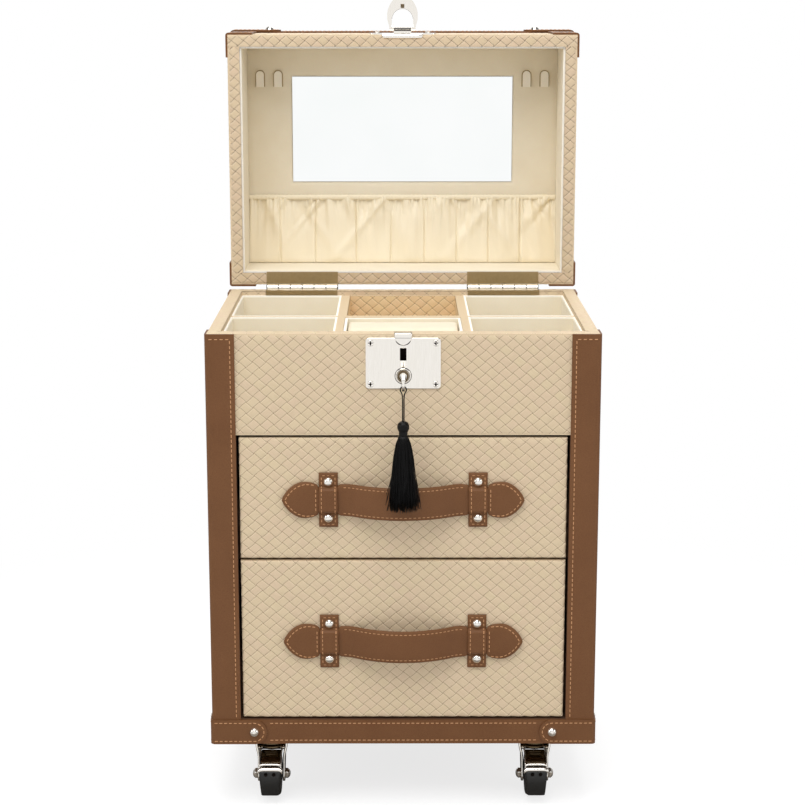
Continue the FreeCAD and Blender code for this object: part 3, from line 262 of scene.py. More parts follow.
radius_x, radius_y = np.interp(level, [0, 0.12, 0.3, 0.6, 1], [3.4, 6.0, 7.6, 8.6, 8.2]), 3.0 + 1.0 * level
points = xyz(radius_x * np.cos(angle), LIMB_Y + radius_y * np.sin(angle), HEAD_Z - 13.2 - 56.0 * level)
faces = list(quads(12, 72, loop_cols=True)) + [np.arange(72), np.arange(11 * 72, 12 * 72)]
piece("tassel_core", "tassel", black_rayon, points, faces, "black_cord", closed=True)


# Boards: the case and lid are 11 mm fibreboard, covered with brown paper where no leather or velour goes;
# the base, the stiles and the runners are the same board. The paper is matt and clouded, with a fine tooth.
wrapped_board, tree = new_material("paper_wrapped_fibreboard")
where = add(tree, "TexCoord")
speck = add(tree, "TexNoise", {}, {"Scale": 700.0, "Detail": 4.0}, {"Vector": where.outputs["Object"]})
cloud = add(tree, "TexNoise", {}, {"Scale": 30.0, "Detail": 2.0}, {"Vector": where.outputs["Object"]})
tint = add(tree, "Mix", COLOUR, {6: linear("#5c4230"), 7: linear("#70513b")}, {0: cloud})
tint = add(tree, "Mix", {"data_type": "RGBA", "blend_type": "MULTIPLY"}, {0: 0.35}, {6: tint.outputs[2], 7: speck.outputs[1]})
tooth = add(tree, "Bump", {}, {"Strength": 0.25, "Distance": 0.0003}, {"Height": speck})
shade = add(tree, "BsdfPrincipled", {}, {"Roughness": 0.82, "Specular IOR Level": 0.3},
            {"Base Color": tint.outputs[2], "Normal": tooth})
add(tree, "OutputMaterial", {}, {}, {"Surface": shade})


def dress(material, *names):
    """Gives CAD nodes a material in their own slots."""
    for name in names:
        for place in cad[name].material_slots:
            place.material = material


dress(wrapped_board, "side_panels", "back_panel", "base_board", "shelves", "fascia_board", "lid_walls", "lid_top_board",
      "drawer_guides")

# Woven leather: tan split-leather strips 8.5 mm wide in a plain diagonal weave, 13.1 mm across and 11.2 mm up each
# diamond, glued to the boards and turned over the rims and the edges of the drawer fronts.
ACROSS, UP = 13.1, 11.2
X, Y, Z = np.eye(3)


def woven(name, body, panels, lift, rise=0.42, jut=0.05, hole=None, leather="woven_tan_leather"):
    """Woven panels on flat rectangles. Lattice lines run along both strip directions, bunched at the grooves. Along its strip
    each diamond is flat and slopes down where it dives under the next strip, across it it is flat with square edges, and both
    fall to nothing in the grooves. A diamond is longer along its strip and narrower across it by jut, so the grooves step at
    every crossing. A panel is its centre, its two directions, its width and height and, if it has them, its rolled sides with
    their radius, which bend back over a quarter round, its turned sides with their depth, which go on down the edge behind,
    and whether it has a back."""
    usual = ("", 2.0, "", 0, False)
    brink, flat = 0.055, 0.13
    whole = bmesh.new()
    for centre, ex, ez, w, h, *more in panels:
        rolled, roll, turned, depth, back = (*more, *usual[len(more):])
        ex, ez = np.array(ex, float), np.array(ez, float)
        out = np.cross(ex, ez)
        n = int(math.ceil(w / 2 / ACROSS + h / 2 / UP)) + 1
        stops = (np.arange(-n, n)[:, None] + np.array([0.0, brink, flat, 1 - flat, 1 - brink])).ravel()
        stops = np.append(stops, n)
        s, t = np.meshgrid(stops, stops, indexing="ij")
        px, pz = (s - t) * ACROSS / 2, (s + t) * UP / 2
        cells = quads(len(stops), len(stops))
        cx, cz = px.ravel()[cells], pz.ravel()[cells]
        keep = (cx.max(1) > -w / 2) & (cx.min(1) < w / 2) & (cz.max(1) > -h / 2) & (cz.min(1) < h / 2)
        if hole:
            keep &= ~((cx.min(1) > hole[0]) & (cx.max(1) < hole[1]) & (cz.min(1) > hole[2]) & (cz.max(1) < hole[3]))
        used, cells = np.unique(cells[keep][:, ::-1], return_inverse=True)
        mesh = bpy.data.meshes.new("weave_work")
        mesh.from_pydata(xyz(px.ravel()[used], pz.ravel()[used], 0.0).tolist(), [], cells.reshape(-1, 4).tolist())
        work = bmesh.new()
        work.from_mesh(mesh)
        for side, way, reach in (("l", -X, w / 2), ("r", X, w / 2), ("b", -Y, h / 2), ("t", Y, h / 2)):
            for inset in (0.0, 0.3 * roll, roll) if side in rolled else (0.0,):
                bmesh.ops.bisect_plane(work, geom=work.verts[:] + work.edges[:] + work.faces[:], dist=1e-5,
                                       plane_co=tuple(way * (reach - inset)), plane_no=tuple(way), clear_outer=inset == 0.0)
        work.to_mesh(mesh)
        work.free()
        co = np.empty(3 * len(mesh.vertices))
        mesh.vertices.foreach_get("co", co)
        px, pz = co.reshape(-1, 3)[:, 0].copy(), co.reshape(-1, 3)[:, 1].copy()
        s, t = px / ACROSS + pz / UP, pz / UP - px / ACROSS
        i, j = np.floor(s + 1e-6), np.floor(t + 1e-6)
        u, v = s - i - 0.5, t - j - 0.5
        even = (i + j) % 2 == 0
        a, b = np.where(even, u, v), np.where(even, v, u)
        dive = np.interp(0.5 - np.abs(a), [0, brink, flat, 0.5], [0, 0.60, 0.86, 1.0])
        height = rise * dive * np.interp(0.5 - np.abs(b), [0, brink, flat, 0.5], [0, 0.94, 1.0, 1.0])
        inset = {"l": px + w / 2, "r": w / 2 - px, "b": pz + h / 2, "t": h / 2 - pz}
        free = np.minimum.reduce(list(inset.values())) > 0.02
        edge_u, edge_v = (np.clip(np.abs(k) / (0.5 - brink), 0, 1) for k in (u, v))
        middle_u, middle_v = (np.clip((0.5 - np.abs(k)) / brink, 0, 1) for k in (u, v))
        step_s = np.where((i + (u > 0) - 1 + j) % 2 == 0, jut, -jut) * edge_u * middle_v
        step_t = np.where((i + j + (v > 0) - 1) % 2 == 0, -jut, jut) * edge_v * middle_u
        px, pz = px + free * (step_s - step_t) * ACROSS / 2, pz + free * (step_s + step_t) * UP / 2
        for side in rolled:
            d = np.clip(inset[side], 0, roll)
            height = height * (0.25 + 0.75 * d / roll) - (roll - np.sqrt(np.maximum(roll ** 2 - (roll - d) ** 2, 0)))
        points = np.array(centre) + px[:, None] * ex + pz[:, None] * ez + (height + lift)[:, None] * out
        lay = np.stack([s, t], -1)
        faces = [list(p.vertices) for p in mesh.polygons]
        ring = []
        for side, key, sign, ox, oz in (("b", px, 1, 0, -1), ("r", pz, 1, 1, 0), ("t", px, -1, 0, 1), ("l", pz, -1, -1, 0)):
            if side not in turned:
                continue
            edge = np.where(inset[side] < 1e-4)[0]
            edge = edge[np.argsort(sign * key[edge])]
            new = len(points) + np.arange(len(edge))
            points = np.vstack([points, points[edge] - depth * out])
            qx, qz = px[edge] + ox * depth, pz[edge] + oz * depth
            lay = np.vstack([lay, np.stack([qx / ACROSS + qz / UP, qz / UP - qx / ACROSS], -1)])
            faces += np.stack([edge[1:], edge[:-1], new[:-1], new[1:]], -1).tolist()
            ring += new.tolist()
        if back:
            faces.append(ring[::-1])
        mesh.clear_geometry()
        mesh.from_pydata((points * 0.001).tolist(), [], faces)
        layer = mesh.uv_layers.new(name="lattice")
        at = np.empty(len(mesh.loops), dtype=np.int32)
        mesh.loops.foreach_get("vertex_index", at)
        layer.data.foreach_set("uv", lay[at].astype(np.float32).ravel())
        whole.from_mesh(mesh)
        bpy.data.meshes.remove(mesh)
    bmesh.ops.remove_doubles(whole, verts=whole.verts, dist=2e-6)
    mesh = bpy.data.meshes.new(name)
    whole.to_mesh(mesh)
    whole.free()
    mesh.shade_smooth()
    mesh.materials.append(woven_leathers[leather])
    made = bpy.data.objects.new(name, mesh)
    scene.collection.objects.link(made)
    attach(made, body)
    return made


# Tan leather strips: matt, with fine grain drawn along each strip, a little tone from strip to strip, dark in the
# grooves, partly ink and partly painted shade, and darker at a strip's ends where they dive under the next, which is
# painted shade; each strip's sides are lighter, partly wear and partly a painted highlight where their edges catch the
# light. In the tray's well the same leather is painted warmer and brighter, with darker grooves, painted light against
# the shade inside the well; on the lid's rim it is a touch darker, with deeper painted shade in its grooves.
woven_leathers = {}
for name, dark, pale, pink, straw, rub_and_sheen, groove_ink_and_shade_tone in (
    ("woven_tan_leather", "#bfa886", "#e2cfb2", "#d3baa0", "#d3c29e", "#e0cfb2", "#8e7256"),
    # painted light: a warmer, brighter copy for the tray's well, against the shade inside it
    ("woven_tan_leather_unfaded", "#d2b589", "#f2dab0", "#e8caa2", "#e8d1a0", "#f2dab2", "#7d5f3c"),
    # a touch darker copy for the lid's rim, with much darker painted shade in its grooves
    ("woven_tan_leather_handled", "#bca484", "#dfcbae", "#d1b79d", "#d1be9b", "#dccab0", "#664e36"),
):
    woven_leathers[name], tree = new_material(name)
    lay = add(tree, "UVMap", {"uv_map": "lattice"})
    cell = add(tree, "VectorMath", {"operation": "FLOOR"}, {}, {0: lay})
    part = add(tree, "VectorMath", {"operation": "FRACTION"}, {}, {0: lay})
    off = add(tree, "VectorMath", {"operation": "SUBTRACT"}, {1: (0.5, 0.5, 0.0)}, {0: part})
    off = add(tree, "VectorMath", {"operation": "ABSOLUTE"}, {}, {0: off})
    off = add(tree, "SeparateXYZ", {}, {}, {0: off})
    half = add(tree, "VectorMath", {"operation": "DOT_PRODUCT"}, {1: (0.5, 0.5, 0.0)}, {0: cell})
    odd = add(tree, "Math", {"operation": "FRACT"}, {}, {0: half.outputs["Value"]})
    odd = add(tree, "Math", {"operation": "GREATER_THAN"}, {1: 0.25}, {0: odd})
    grain_s = add(tree, "VectorMath", {"operation": "MULTIPLY"}, {1: (0.9, 16.0, 0.0)}, {0: lay})
    grain_t = add(tree, "VectorMath", {"operation": "MULTIPLY"}, {1: (16.0, 0.9, 0.0)}, {0: lay})
    drawn = add(tree, "Mix", {"data_type": "VECTOR"}, {}, {0: odd, 4: grain_s, 5: grain_t})
    fibre = add(tree, "TexNoise", {}, {"Scale": 1.0, "Detail": 3.0, "Roughness": 0.6}, {"Vector": drawn.outputs[1]})
    strip_s = add(tree, "VectorMath", {"operation": "MULTIPLY"}, {1: (0.0, 1.0, 0.0)}, {0: cell})
    strip_t = add(tree, "VectorMath", {"operation": "MULTIPLY"}, {1: (1.0, 0.0, 0.0)}, {0: cell})
    strip = add(tree, "Mix", {"data_type": "VECTOR"}, {}, {0: odd, 4: strip_s, 5: strip_t})
    lot = add(tree, "TexWhiteNoise", {"noise_dimensions": "3D"}, {}, {"Vector": strip.outputs[1]})
    along = add(tree, "Mix", {"data_type": "FLOAT"}, {}, {0: odd, 2: off.outputs[0], 3: off.outputs[1]})
    beside = add(tree, "Mix", {"data_type": "FLOAT"}, {}, {0: odd, 2: off.outputs[1], 3: off.outputs[0]})
    # painted shade: a strip darkens towards its ends, where it dives under the next strip
    under = add(tree, "MapRange", SMOOTH, {"From Min": 0.445, "From Max": 0.485, "To Max": 0.82}, {"Value": along.outputs[0]})
    # partly wear, partly a painted highlight: each strip's sides lighten where their edges catch the light
    wear_and_edge_highlight = add(tree, "MapRange", SMOOTH, {"From Min": 0.33, "From Max": 0.46, "To Max": 0.5}, {"Value": beside.outputs[0]})
    # the groove's dark line, partly ink and partly painted shade
    groove_ink_and_shade = add(tree, "MapRange", SMOOTH, {"From Min": 0.468, "From Max": 0.495, "To Max": 0.5}, {"Value": beside.outputs[0]})
    groove_ink_and_shade = add(tree, "Math", {"operation": "MAXIMUM"}, {}, {0: under, 1: groove_ink_and_shade})
    tint = add(tree, "Mix", COLOUR, {6: linear(dark), 7: linear(pale)}, {0: fibre})
    warm = add(tree, "Mix", COLOUR, {6: linear(pink), 7: linear(straw)}, {0: lot.outputs[0]})
    tint = add(tree, "Mix", COLOUR, {0: 0.45}, {6: tint.outputs[2], 7: warm.outputs[2]})
    tint = add(tree, "Mix", COLOUR, {7: linear(rub_and_sheen)}, {0: wear_and_edge_highlight, 6: tint.outputs[2]})
    tint = add(tree, "Mix", COLOUR, {7: linear(groove_ink_and_shade_tone)}, {0: groove_ink_and_shade, 6: tint.outputs[2]})
    ridge = add(tree, "Bump", {}, {"Strength": 0.22, "Distance": 0.0004}, {"Height": fibre})
    shade = add(tree, "BsdfPrincipled", {}, {"Roughness": 0.60, "Specular IOR Level": 0.35},
                {"Base Color": tint.outputs[2], "Normal": ridge})
    add(tree, "OutputMaterial", {}, {}, {"Surface": shade})

# The same leather where it lies under trim or folds over an edge out of sight: plain tan with its grain.
plain_tan = grained("plain_tan_leather", "#cfb896", "#dcc8a9", 900.0, 3.0, {"Roughness": 0.62, "Specular IOR Level": 0.35},
                    relief=(0.2, 0.0003))
dress(plain_tan, "woven_covers", "lid_woven_cover")

# Outer faces of the case and of the open lid, the leather folded over their rims, and the panels between the trim.
SIDE_X, FRONT_Y, BACK_Y, BAND_Z, RIM_Z = 187.5, -167.5, 102.5, 93.0, 484.0
LID_RIM_Y, LID_BAND_Y, LID_TOP_Y, LID_LOW, LID_HIGH = 107.5, 184.0, 207.5, 489.0, 759.0
MID_Y, LID_Y, LID_Z = (FRONT_Y + BACK_Y) / 2, (LID_RIM_Y + LID_BAND_Y) / 2, (LID_LOW + LID_HIGH) / 2
WIDE, DEEP, TALL, LID_WALL = 2 * SIDE_X, BACK_Y - FRONT_Y, RIM_Z - BAND_Z, LID_BAND_Y - LID_RIM_Y
RIM, FOLD, BETWEEN = 12.5, 4.6, 326
SIDE_RIM_X, SIDE_RIM, WALL_Z, FOLD_Z = SIDE_X - RIM / 2, DEEP - 2 * RIM, RIM_Z - TALL / 2, RIM_Z - FOLD / 2
woven("weave_case_sides", "case", [((s * SIDE_X, MID_Y, WALL_Z), s * Y, Z, 229, TALL, "t") for s in (1, -1)], 0.10)
woven("weave_case_back", "case", [((0, BACK_Y, WALL_Z), -X, Z, BETWEEN, TALL, "t")], 0.10)
woven("weave_case_front", "case", [((0, FRONT_Y, 434.5), X, Z, 325, 99, "tb", 2.0, "b", 10)], 0.10, hole=(-33, 33, -1, 47))
woven("weave_case_rim", "case", [
    ((0, FRONT_Y + RIM / 2, RIM_Z), X, Y, WIDE, RIM, "b"),
    ((0, BACK_Y - RIM / 2, RIM_Z), X, Y, WIDE, RIM, "t"),
    ((-SIDE_RIM_X, MID_Y, RIM_Z), X, Y, RIM, SIDE_RIM, "l"),
    ((SIDE_RIM_X, MID_Y, RIM_Z), X, Y, RIM, SIDE_RIM, "r"),
], 0.10, rise=0.5)
woven("weave_case_turn_in", "case", [
    ((RIM - SIDE_X, MID_Y, FOLD_Z), Y, Z, SIDE_RIM, FOLD),
    ((SIDE_X - RIM, MID_Y, FOLD_Z), -Y, Z, SIDE_RIM, FOLD),
    ((0, FRONT_Y + RIM, FOLD_Z), -X, Z, WIDE - 2 * RIM, FOLD),
    ((0, BACK_Y - RIM, FOLD_Z), X, Z, WIDE - 2 * RIM, FOLD),
], 0.02, rise=0.12)
woven("weave_lid_top", "lid", [((0, LID_TOP_Y, LID_Z), -X, Z, WIDE, DEEP, "lrbt", 2.5)], 0.10)
woven("weave_lid_walls", "lid", [
    ((0, LID_Y, LID_HIGH), X, Y, BETWEEN, LID_WALL, "b"),
    ((0, LID_Y, LID_LOW), X, -Y, BETWEEN, LID_WALL, "t"),
    ((SIDE_X, LID_Y, LID_Z), Y, Z, LID_WALL, 226, "l"),
    ((-SIDE_X, LID_Y, LID_Z), -Y, Z, LID_WALL, 226, "r"),
], 0.10)
woven("weave_lid_rim", "lid", [
    ((0, LID_RIM_Y, LID_HIGH - RIM / 2), X, Z, WIDE, RIM, "t"),
    ((0, LID_RIM_Y, LID_LOW + RIM / 2), X, Z, WIDE, RIM, "b"),
    ((-SIDE_RIM_X, LID_RIM_Y, LID_Z), X, Z, RIM, SIDE_RIM, "l"),
    ((SIDE_RIM_X, LID_RIM_Y, LID_Z), X, Z, RIM, SIDE_RIM, "r"),
], 0.10, rise=0.65, leather="woven_tan_leather_handled")

# Drawer fronts: boards wrapped in the same weave, which is turned over all four edges and down to the back,
# in front of plain open boxes that are lined with velour.
for name, low, high in (("upper", 261.5, 382.5), ("lower", 97.0, 259.0)):
    sheet = (0, FRONT_Y, (low + high) / 2), X, Z, 317.4, high - low, "lrbt", 1.8, "brtl", 12.2, True
    front = woven("weave_%s_drawer" % name, name + "_drawer", [sheet], -0.35)
    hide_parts(name + "_drawer_front")

# Brown leather trim: straps over the corners, a band round the base and round the lid, and a patch over each band corner,
# all 2 mm smooth grain calf leather, glued and sewn. Its pores are dark, 1.1 mm apart, and its grain keeps it half matt.
brown_leather, tree = new_material("brown_grain_leather")
where = add(tree, "TexCoord")
pore = add(tree, "TexVoronoi", {"feature": "DISTANCE_TO_EDGE"}, {"Scale": 900.0}, {"Vector": where.outputs["Object"]})
grain = add(tree, "TexNoise", {}, {"Scale": 1500.0, "Detail": 3.0}, {"Vector": where.outputs["Object"]})
cloud = add(tree, "TexNoise", {}, {"Scale": 26.0, "Detail": 3.0}, {"Vector": where.outputs["Object"]})
tint = add(tree, "Mix", COLOUR, {6: linear("#633c1e"), 7: linear("#79502f")}, {0: cloud})
fine = add(tree, "Mix", COLOUR, {6: linear("#513018"), 7: linear("#8c613c")}, {0: grain})
tint = add(tree, "Mix", COLOUR, {0: 0.4}, {6: tint.outputs[2], 7: fine.outputs[2]})
crease = add(tree, "MapRange", {}, {"From Max": 0.12, "To Min": 0.30, "To Max": 0.0}, {"Value": pore})
tint = add(tree, "Mix", COLOUR, {7: linear("#482a16")}, {0: crease, 6: tint.outputs[2]})
relief = add(tree, "Math", {"operation": "MULTIPLY_ADD"}, {1: 0.35}, {0: grain, 2: pore})
ridge = add(tree, "Bump", {}, {"Strength": 0.26, "Distance": 0.0003}, {"Height": relief})
gloss = add(tree, "MapRange", {}, {"To Min": 0.48, "To Max": 0.62}, {"Value": grain})
shade = add(tree, "BsdfPrincipled", {}, {"Specular IOR Level": 0.28},
            {"Base Color": tint.outputs[2], "Roughness": gloss, "Normal": ridge})
add(tree, "OutputMaterial", {}, {}, {"Surface": shade})
dress(brown_leather, "corner_straps", "base_band", "base_corner_patches", "lid_corner_straps", "lid_band", "lid_corner_patches")

# Waxed linen thread: ochre, twisted every 0.4 mm, slightly shiny.
ochre_thread = grained("ochre_linen_thread", "#b07c50", "#d09c6c", 2600.0, 1.0, {"Roughness": 0.55}, relief=(0.3, 0.0002))


def stitches(name, body, rows, pitch=4.8, long=3.2, wide=0.95, proud=0.40):
    """Sewn rows: along each path, at even steps, a thread dome whose height is the root of (1 - a^4)(1 - b^2)."""
    a, b = np.meshgrid([-1, -0.7, 0, 0.7, 1], [-1, -0.4, 0.4, 1], indexing="ij")
    rise = np.sqrt(np.maximum((1 - a ** 4) * (1 - b ** 2), 0)) * proud - 0.06
    domes = []
    for path, normal in rows:
        path = np.asarray(path, float)
        normal = np.broadcast_to(np.asarray(normal, float), path.shape)
        run = np.append(0, np.cumsum(np.linalg.norm(np.diff(path, axis=0), axis=1)))
        count = max(1, int(round(run[-1] / pitch)))
        spot = (np.arange(count) + 0.5) * run[-1] / count

        def along(where, values):
            return np.stack([np.interp(where, run, values[:, k]) for k in range(3)], -1)

        way = along(spot + 0.8, path) - along(spot - 0.8, path)
        way /= np.linalg.norm(way, axis=1)[:, None]
        up = along(spot, normal)
        side = np.cross(up, way)
        dome = (along(spot, path)[:, None, None] + (a * long / 2)[..., None] * way[:, None, None]
                + (b * wide / 2)[..., None] * side[:, None, None] + rise[..., None] * up[:, None, None])
        domes.append(dome.reshape(-1, 20, 3))
    domes = np.concatenate(domes)
    faces = (quads(5, 4)[None] + 20 * np.arange(len(domes))[:, None, None]).reshape(-1, 4)
    piece(name, body, ochre_thread, domes, faces, "brown")


# The same rows go along the straps, round the patches and along the bands of case and lid. On the lid, which stands open,
# depth and height change places. Threads lie on trim 2.2 mm above the weave's ground, on the patches 3.8 mm.
TRIM, PATCH, SEWN_X, BAND_END = 2.2, 3.8, 165.4, 133
a = np.linspace(np.pi / 2, -np.pi / 2, 15)
outline = np.vstack([[40.3, 9.5], [0, 9.5], np.stack([-9.5 * np.cos(a), 9.5 * np.sin(a)], -1), [0, -9.5], [40.3, -9.5]])
for body, faces, strap, strap_end, patch, bands, band_sides, axes in (
    ("case", ((FRONT_Y, -1), (BACK_Y, 1)), (97, 478.5), 479.0, 82.5, (91.4, 73.6), (-113, 48), [0, 1, 2]),
    ("lid", ((LID_HIGH, 1), (LID_LOW, -1)), (112, 180), 112, 193.4, (185.6, 203.4), (543, 705), [0, 2, 1]),
):
    rows = []

    def sew(out, points):
        """One row through points of width, depth and height on a face that looks out."""
        rows.append((np.array(points, float)[:, axes], np.array(out, float)[axes]))

    for sx in (-1, 1):
        side = sx * (SIDE_X + TRIM)
        for face, out in faces:
            front, inner = face + TRIM * out, face - 17.6 * out
            sew((0, out, 0), [(sx * SEWN_X, front, h) for h in strap])
            sew((0, out, 0), [(sx * k, front, strap_end) for k in (SEWN_X, SIDE_X - 1.0)])
            sew((sx, 0, 0), [(side, inner, h) for h in strap])
            sew((sx, 0, 0), [(side, d, strap_end) for d in (inner, front - 3.0 * out)])
            sew((0, out, 0), [(sx * (147.8 + p), face + PATCH * out, patch + q) for p, q in outline])
            sew((sx, 0, 0), [(sx * (SIDE_X + PATCH), face + out * (PATCH - 43.5 + p), patch + q) for p, q in outline])
    for h in bands:
        for face, out in faces:
            sew((0, out, 0), [(x, face + TRIM * out, h) for x in (-BAND_END, BAND_END)])
        for sx in (-1, 1):
            sew((sx, 0, 0), [(sx * (SIDE_X + TRIM), d, h) for d in band_sides])
    stitches(body + "_stitching", body, rows)

# Fittings of nickel-plated steel: ball rivets, hinge pins, hasp, lock, key, screws and caster plates. The plate is polished
# and mirrors the room, with faint hairlines, drawn 0.45 mm apart so that they show.
nickel = grained("polished_nickel_plate", "#eae5dc", "#f6f2ec", 2200.0, 2.0, {"Metallic": 1.0}, gloss=(0.07, 0.15),
                 stretch=(1.0, 1.0, 0.05))
dress(nickel, "base_rivets", "lid_rivets", "upper_handle_rivets", "lower_handle_rivets", "hinge_pins", "hasp_plate", "hasp",
      "key", "case_screws", "caster_plates")


# Drawer handles: a strap with a leaf at each end, 4 mm leather folded and sewn round its edge, bowed out between two
# keepers, each a narrow strap over the neck, riveted at both ends.
def ribbon(path, front, across, half, thick, crown):
    """A flat strap carried along a path: its section is a rounded rectangle, its face crowned; its front, its direction across
    and its half width are given once or per step."""
    n = len(path)
    front, across = (np.broadcast_to(np.asarray(way, float), (n, 3))[:, None] for way in (front, across))
    half = np.broadcast_to(half, n)
    t, r = thick / 2, min(1.3, thick * 0.42)
    kz = np.array([-1, -0.6, 0, 0.6, 1, 1, 1, 1, 1, 1, 0, -1, -1, -1, -1, -1])
    dz = np.array([0, 0, 0, 0, 0, 0.71, 1, 1, 0.71, 0, 0, 0, -0.71, -1, -1, -0.71]) * r
    side = np.array([0.29 * r - t, r - t, t - r, t - 0.29 * r])
    up = np.concatenate([np.full(5, t), -side, np.full(3, -t), side])
    up = up + crown * (1 - kz ** 2) * (up > 0)
    span = kz * np.maximum(half - r, 0)[:, None] + dz * np.minimum(1, half / r)[:, None]
    points = path[:, None] + span[..., None] * across + up[None, :, None] * front
    faces = list(quads(n, 16, loop_cols=True)) + [np.arange(16)[::-1], np.arange(16) + 16 * (n - 1)]
    return points, faces


def joined(shapes):
    """Several shapes as one: their points in a row, their faces renumbered."""
    points = [np.reshape(p, (-1, 3)) for p, f in shapes]
    start = np.cumsum([0] + [len(p) for p in points])
    return np.concatenate(points), [np.asarray(face) + k for k, (p, f) in zip(start, shapes) for face in f]


def strap_line(x):
    """Centre line of the strap: flat ends, a bend of radius 30 mm and a bow of radius 86 mm; gives points and front normals."""
    bend_x, bow, bend = 61.25, 17.5, 30.0
    turn = 2 * math.atan(bow / bend_x)
    big = bend_x / math.sin(turn) - bend
    r = np.abs(x)
    crown = -2.0 - bow + big - np.sqrt(np.maximum(big ** 2 - x ** 2, 0))
    corner = -2.0 - bend + np.sqrt(np.maximum(bend ** 2 - (bend_x - r) ** 2, 0))
    y = np.where(r < big * math.sin(turn), crown, np.where(r < bend_x, corner, -2.0)) + FRONT_Y
    slope = np.gradient(y, x)
    return y, xyz(slope, -1.0, 0.0) / np.sqrt(1 + slope ** 2)[:, None]


def strap_half(x):
    """Half width of the strap: a grip of 16 mm, a neck of 9 mm under the keepers and a leaf of 18 mm with an oval end."""
    r = np.abs(x)
    body = np.interp(r, [48, 56, 61, 63, 64.2, 80.9, 82, 84, 88, 92, 96],
                     [16, 15.9, 15.5, 14.4, 9, 9, 13.8, 15.6, 17.2, 17.8, 18])
    leaf = 18 * np.maximum(1 - (np.maximum(r - 96, 0) / 21.5) ** 1.9, 0) ** 0.75
    return np.minimum(body, leaf)


KEEPER_X = 72.5
for name, zc in (("upper", 321.0), ("lower", 177.0)):
    body = name + "_drawer"
    stops = np.concatenate([np.linspace(0, 63, 36), np.linspace(64.2, 80.9, 7), np.linspace(81.4, 96, 13),
                            96 + 21.5 * np.sin(np.linspace(0.15, np.pi / 2, 14))])
    x = np.concatenate([-stops[:0:-1], stops])
    y, front = strap_line(x)
    points, faces = ribbon(xyz(x, y, zc), front, Z, strap_half(x), 4.0, 0.5)
    piece(name + "_handle_strap", body, brown_leather, points, faces, "brown", name + "_strap", closed=True)
    rows, keepers = [], []
    for s in (-1, 1):
        # Stitches along the grip, round the leaf and across it beside the keeper.
        x = np.linspace(-58.5, 58.5, 80)
        y, front = strap_line(x)
        rows.append((xyz(x, y, zc + s * (strap_half(x) - 3.0)) + 2.0 * front, front))
        x = 85.6 + 28.8 * np.sin(np.linspace(0, 1, 60) * np.pi / 2)
        x = s * np.append(x, x[::-1])
        half = np.maximum(strap_half(s * (np.abs(x) + 2.4)) - 2.2, 0) * np.repeat([1, -1], 60)
        x, half = np.append(x, np.full(9, s * 84.6)), np.append(half, np.linspace(-11.5, 11.5, 9))
        crowned = -171.5 - 0.5 * (1 - np.clip(np.abs(half) / np.maximum(strap_half(x) - 1.3, 0.1), 0, 1) ** 2)
        rows += [(xyz(x, crowned, zc + half)[run], -Y) for run in (slice(0, 120), slice(120, 129))]
    for s in (-1, 1):
        # A keeper lies flat at its ends and rises over the strap in a smooth step; it is sewn along all four edges.
        z = np.concatenate([np.linspace(low, high, n) for low, high, n in (
            (-27, -13.5, 8), (-13, -9, 9), (-8, 8, 9), (9, 13, 9), (13.5, 27, 8))])
        lift = np.clip((13.2 - np.abs(z)) / 3.6, 0, 1)
        y = -168.7 - 4.3 * lift ** 2 * (3 - 2 * lift)
        slope = np.gradient(y, z)
        front = xyz(0.0, -1.0, slope) / np.sqrt(1 + slope ** 2)[:, None]
        path = xyz(s * KEEPER_X, y, zc + z)
        keepers.append(ribbon(path, front, X, 9.25, 2.2, 0.25))
        inner = np.abs(z) < 24.6
        for e in (-1, 1):
            rows.append((path[inner] + [e * 6.6, 0, 0] + 1.15 * front[inner], front[inner]))
            rows.append((xyz(s * KEEPER_X + np.array([-6.6, 6.6]), y[0] - 1.15, zc + e * 24.4), -Y))
    piece(name + "_handle_keepers", body, brown_leather, *joined(keepers), "brown", name + "_keepers", closed=True)
    stitches(name + "_handle_stitching", body, rows, pitch=4.4, long=2.9, wide=0.9, proud=0.36)

# Lock: a pressed plate with a rolled edge, a slot for the staple and a rest for the hasp, screwed to the front over a
# blackened lock case; a raised ring and an engraved line mark the plug. Blackened steel is nearly black and matt; the
# same material is laid as painted shade in the screws' cross cuts, round the ring, on the rest, between the hinge
# knuckles, along the hasp's barrel and in the holes of the brake pads.
blackened_steel_and_painted_shade = grained("blackened_steel_and_painted_shade", "#140e0a", "#2a1f17", 500.0, 3.0, {"Roughness": 0.75, "Specular IOR Level": 0.2})
dress(blackened_steel_and_painted_shade, "lock_case")


def rounded_loop(x0, x1, z0, z1, r, side=10, corner=7):
    """Outline of a rectangle with quarter-round corners: the arcs in turn, each followed by points along the next side."""
    a = np.linspace(0, np.pi / 2, corner) + (np.arange(4) * np.pi / 2 - np.pi / 2)[:, None]
    middle = np.array([[x1 - r, z0 + r], [x1 - r, z1 - r], [x0 + r, z1 - r], [x0 + r, z0 + r]])
    arcs = middle[:, None] + r * np.stack([np.cos(a), np.sin(a)], -1)
    k = (np.arange(side) + 1)[None, :, None] / (side + 1)
    runs = arcs[:, -1:] * (1 - k) + np.roll(arcs, -1, 0)[:, :1] * k
    return np.concatenate([arcs, runs], 1).reshape(-1, 2)


def stacked(loops):
    """Outlines in the front plane, each set at its own depth, joined into one skin; gives points as rows of the outlines."""
    return np.stack([xyz(loop[:, 0], y, loop[:, 1]) for loop, y in loops])


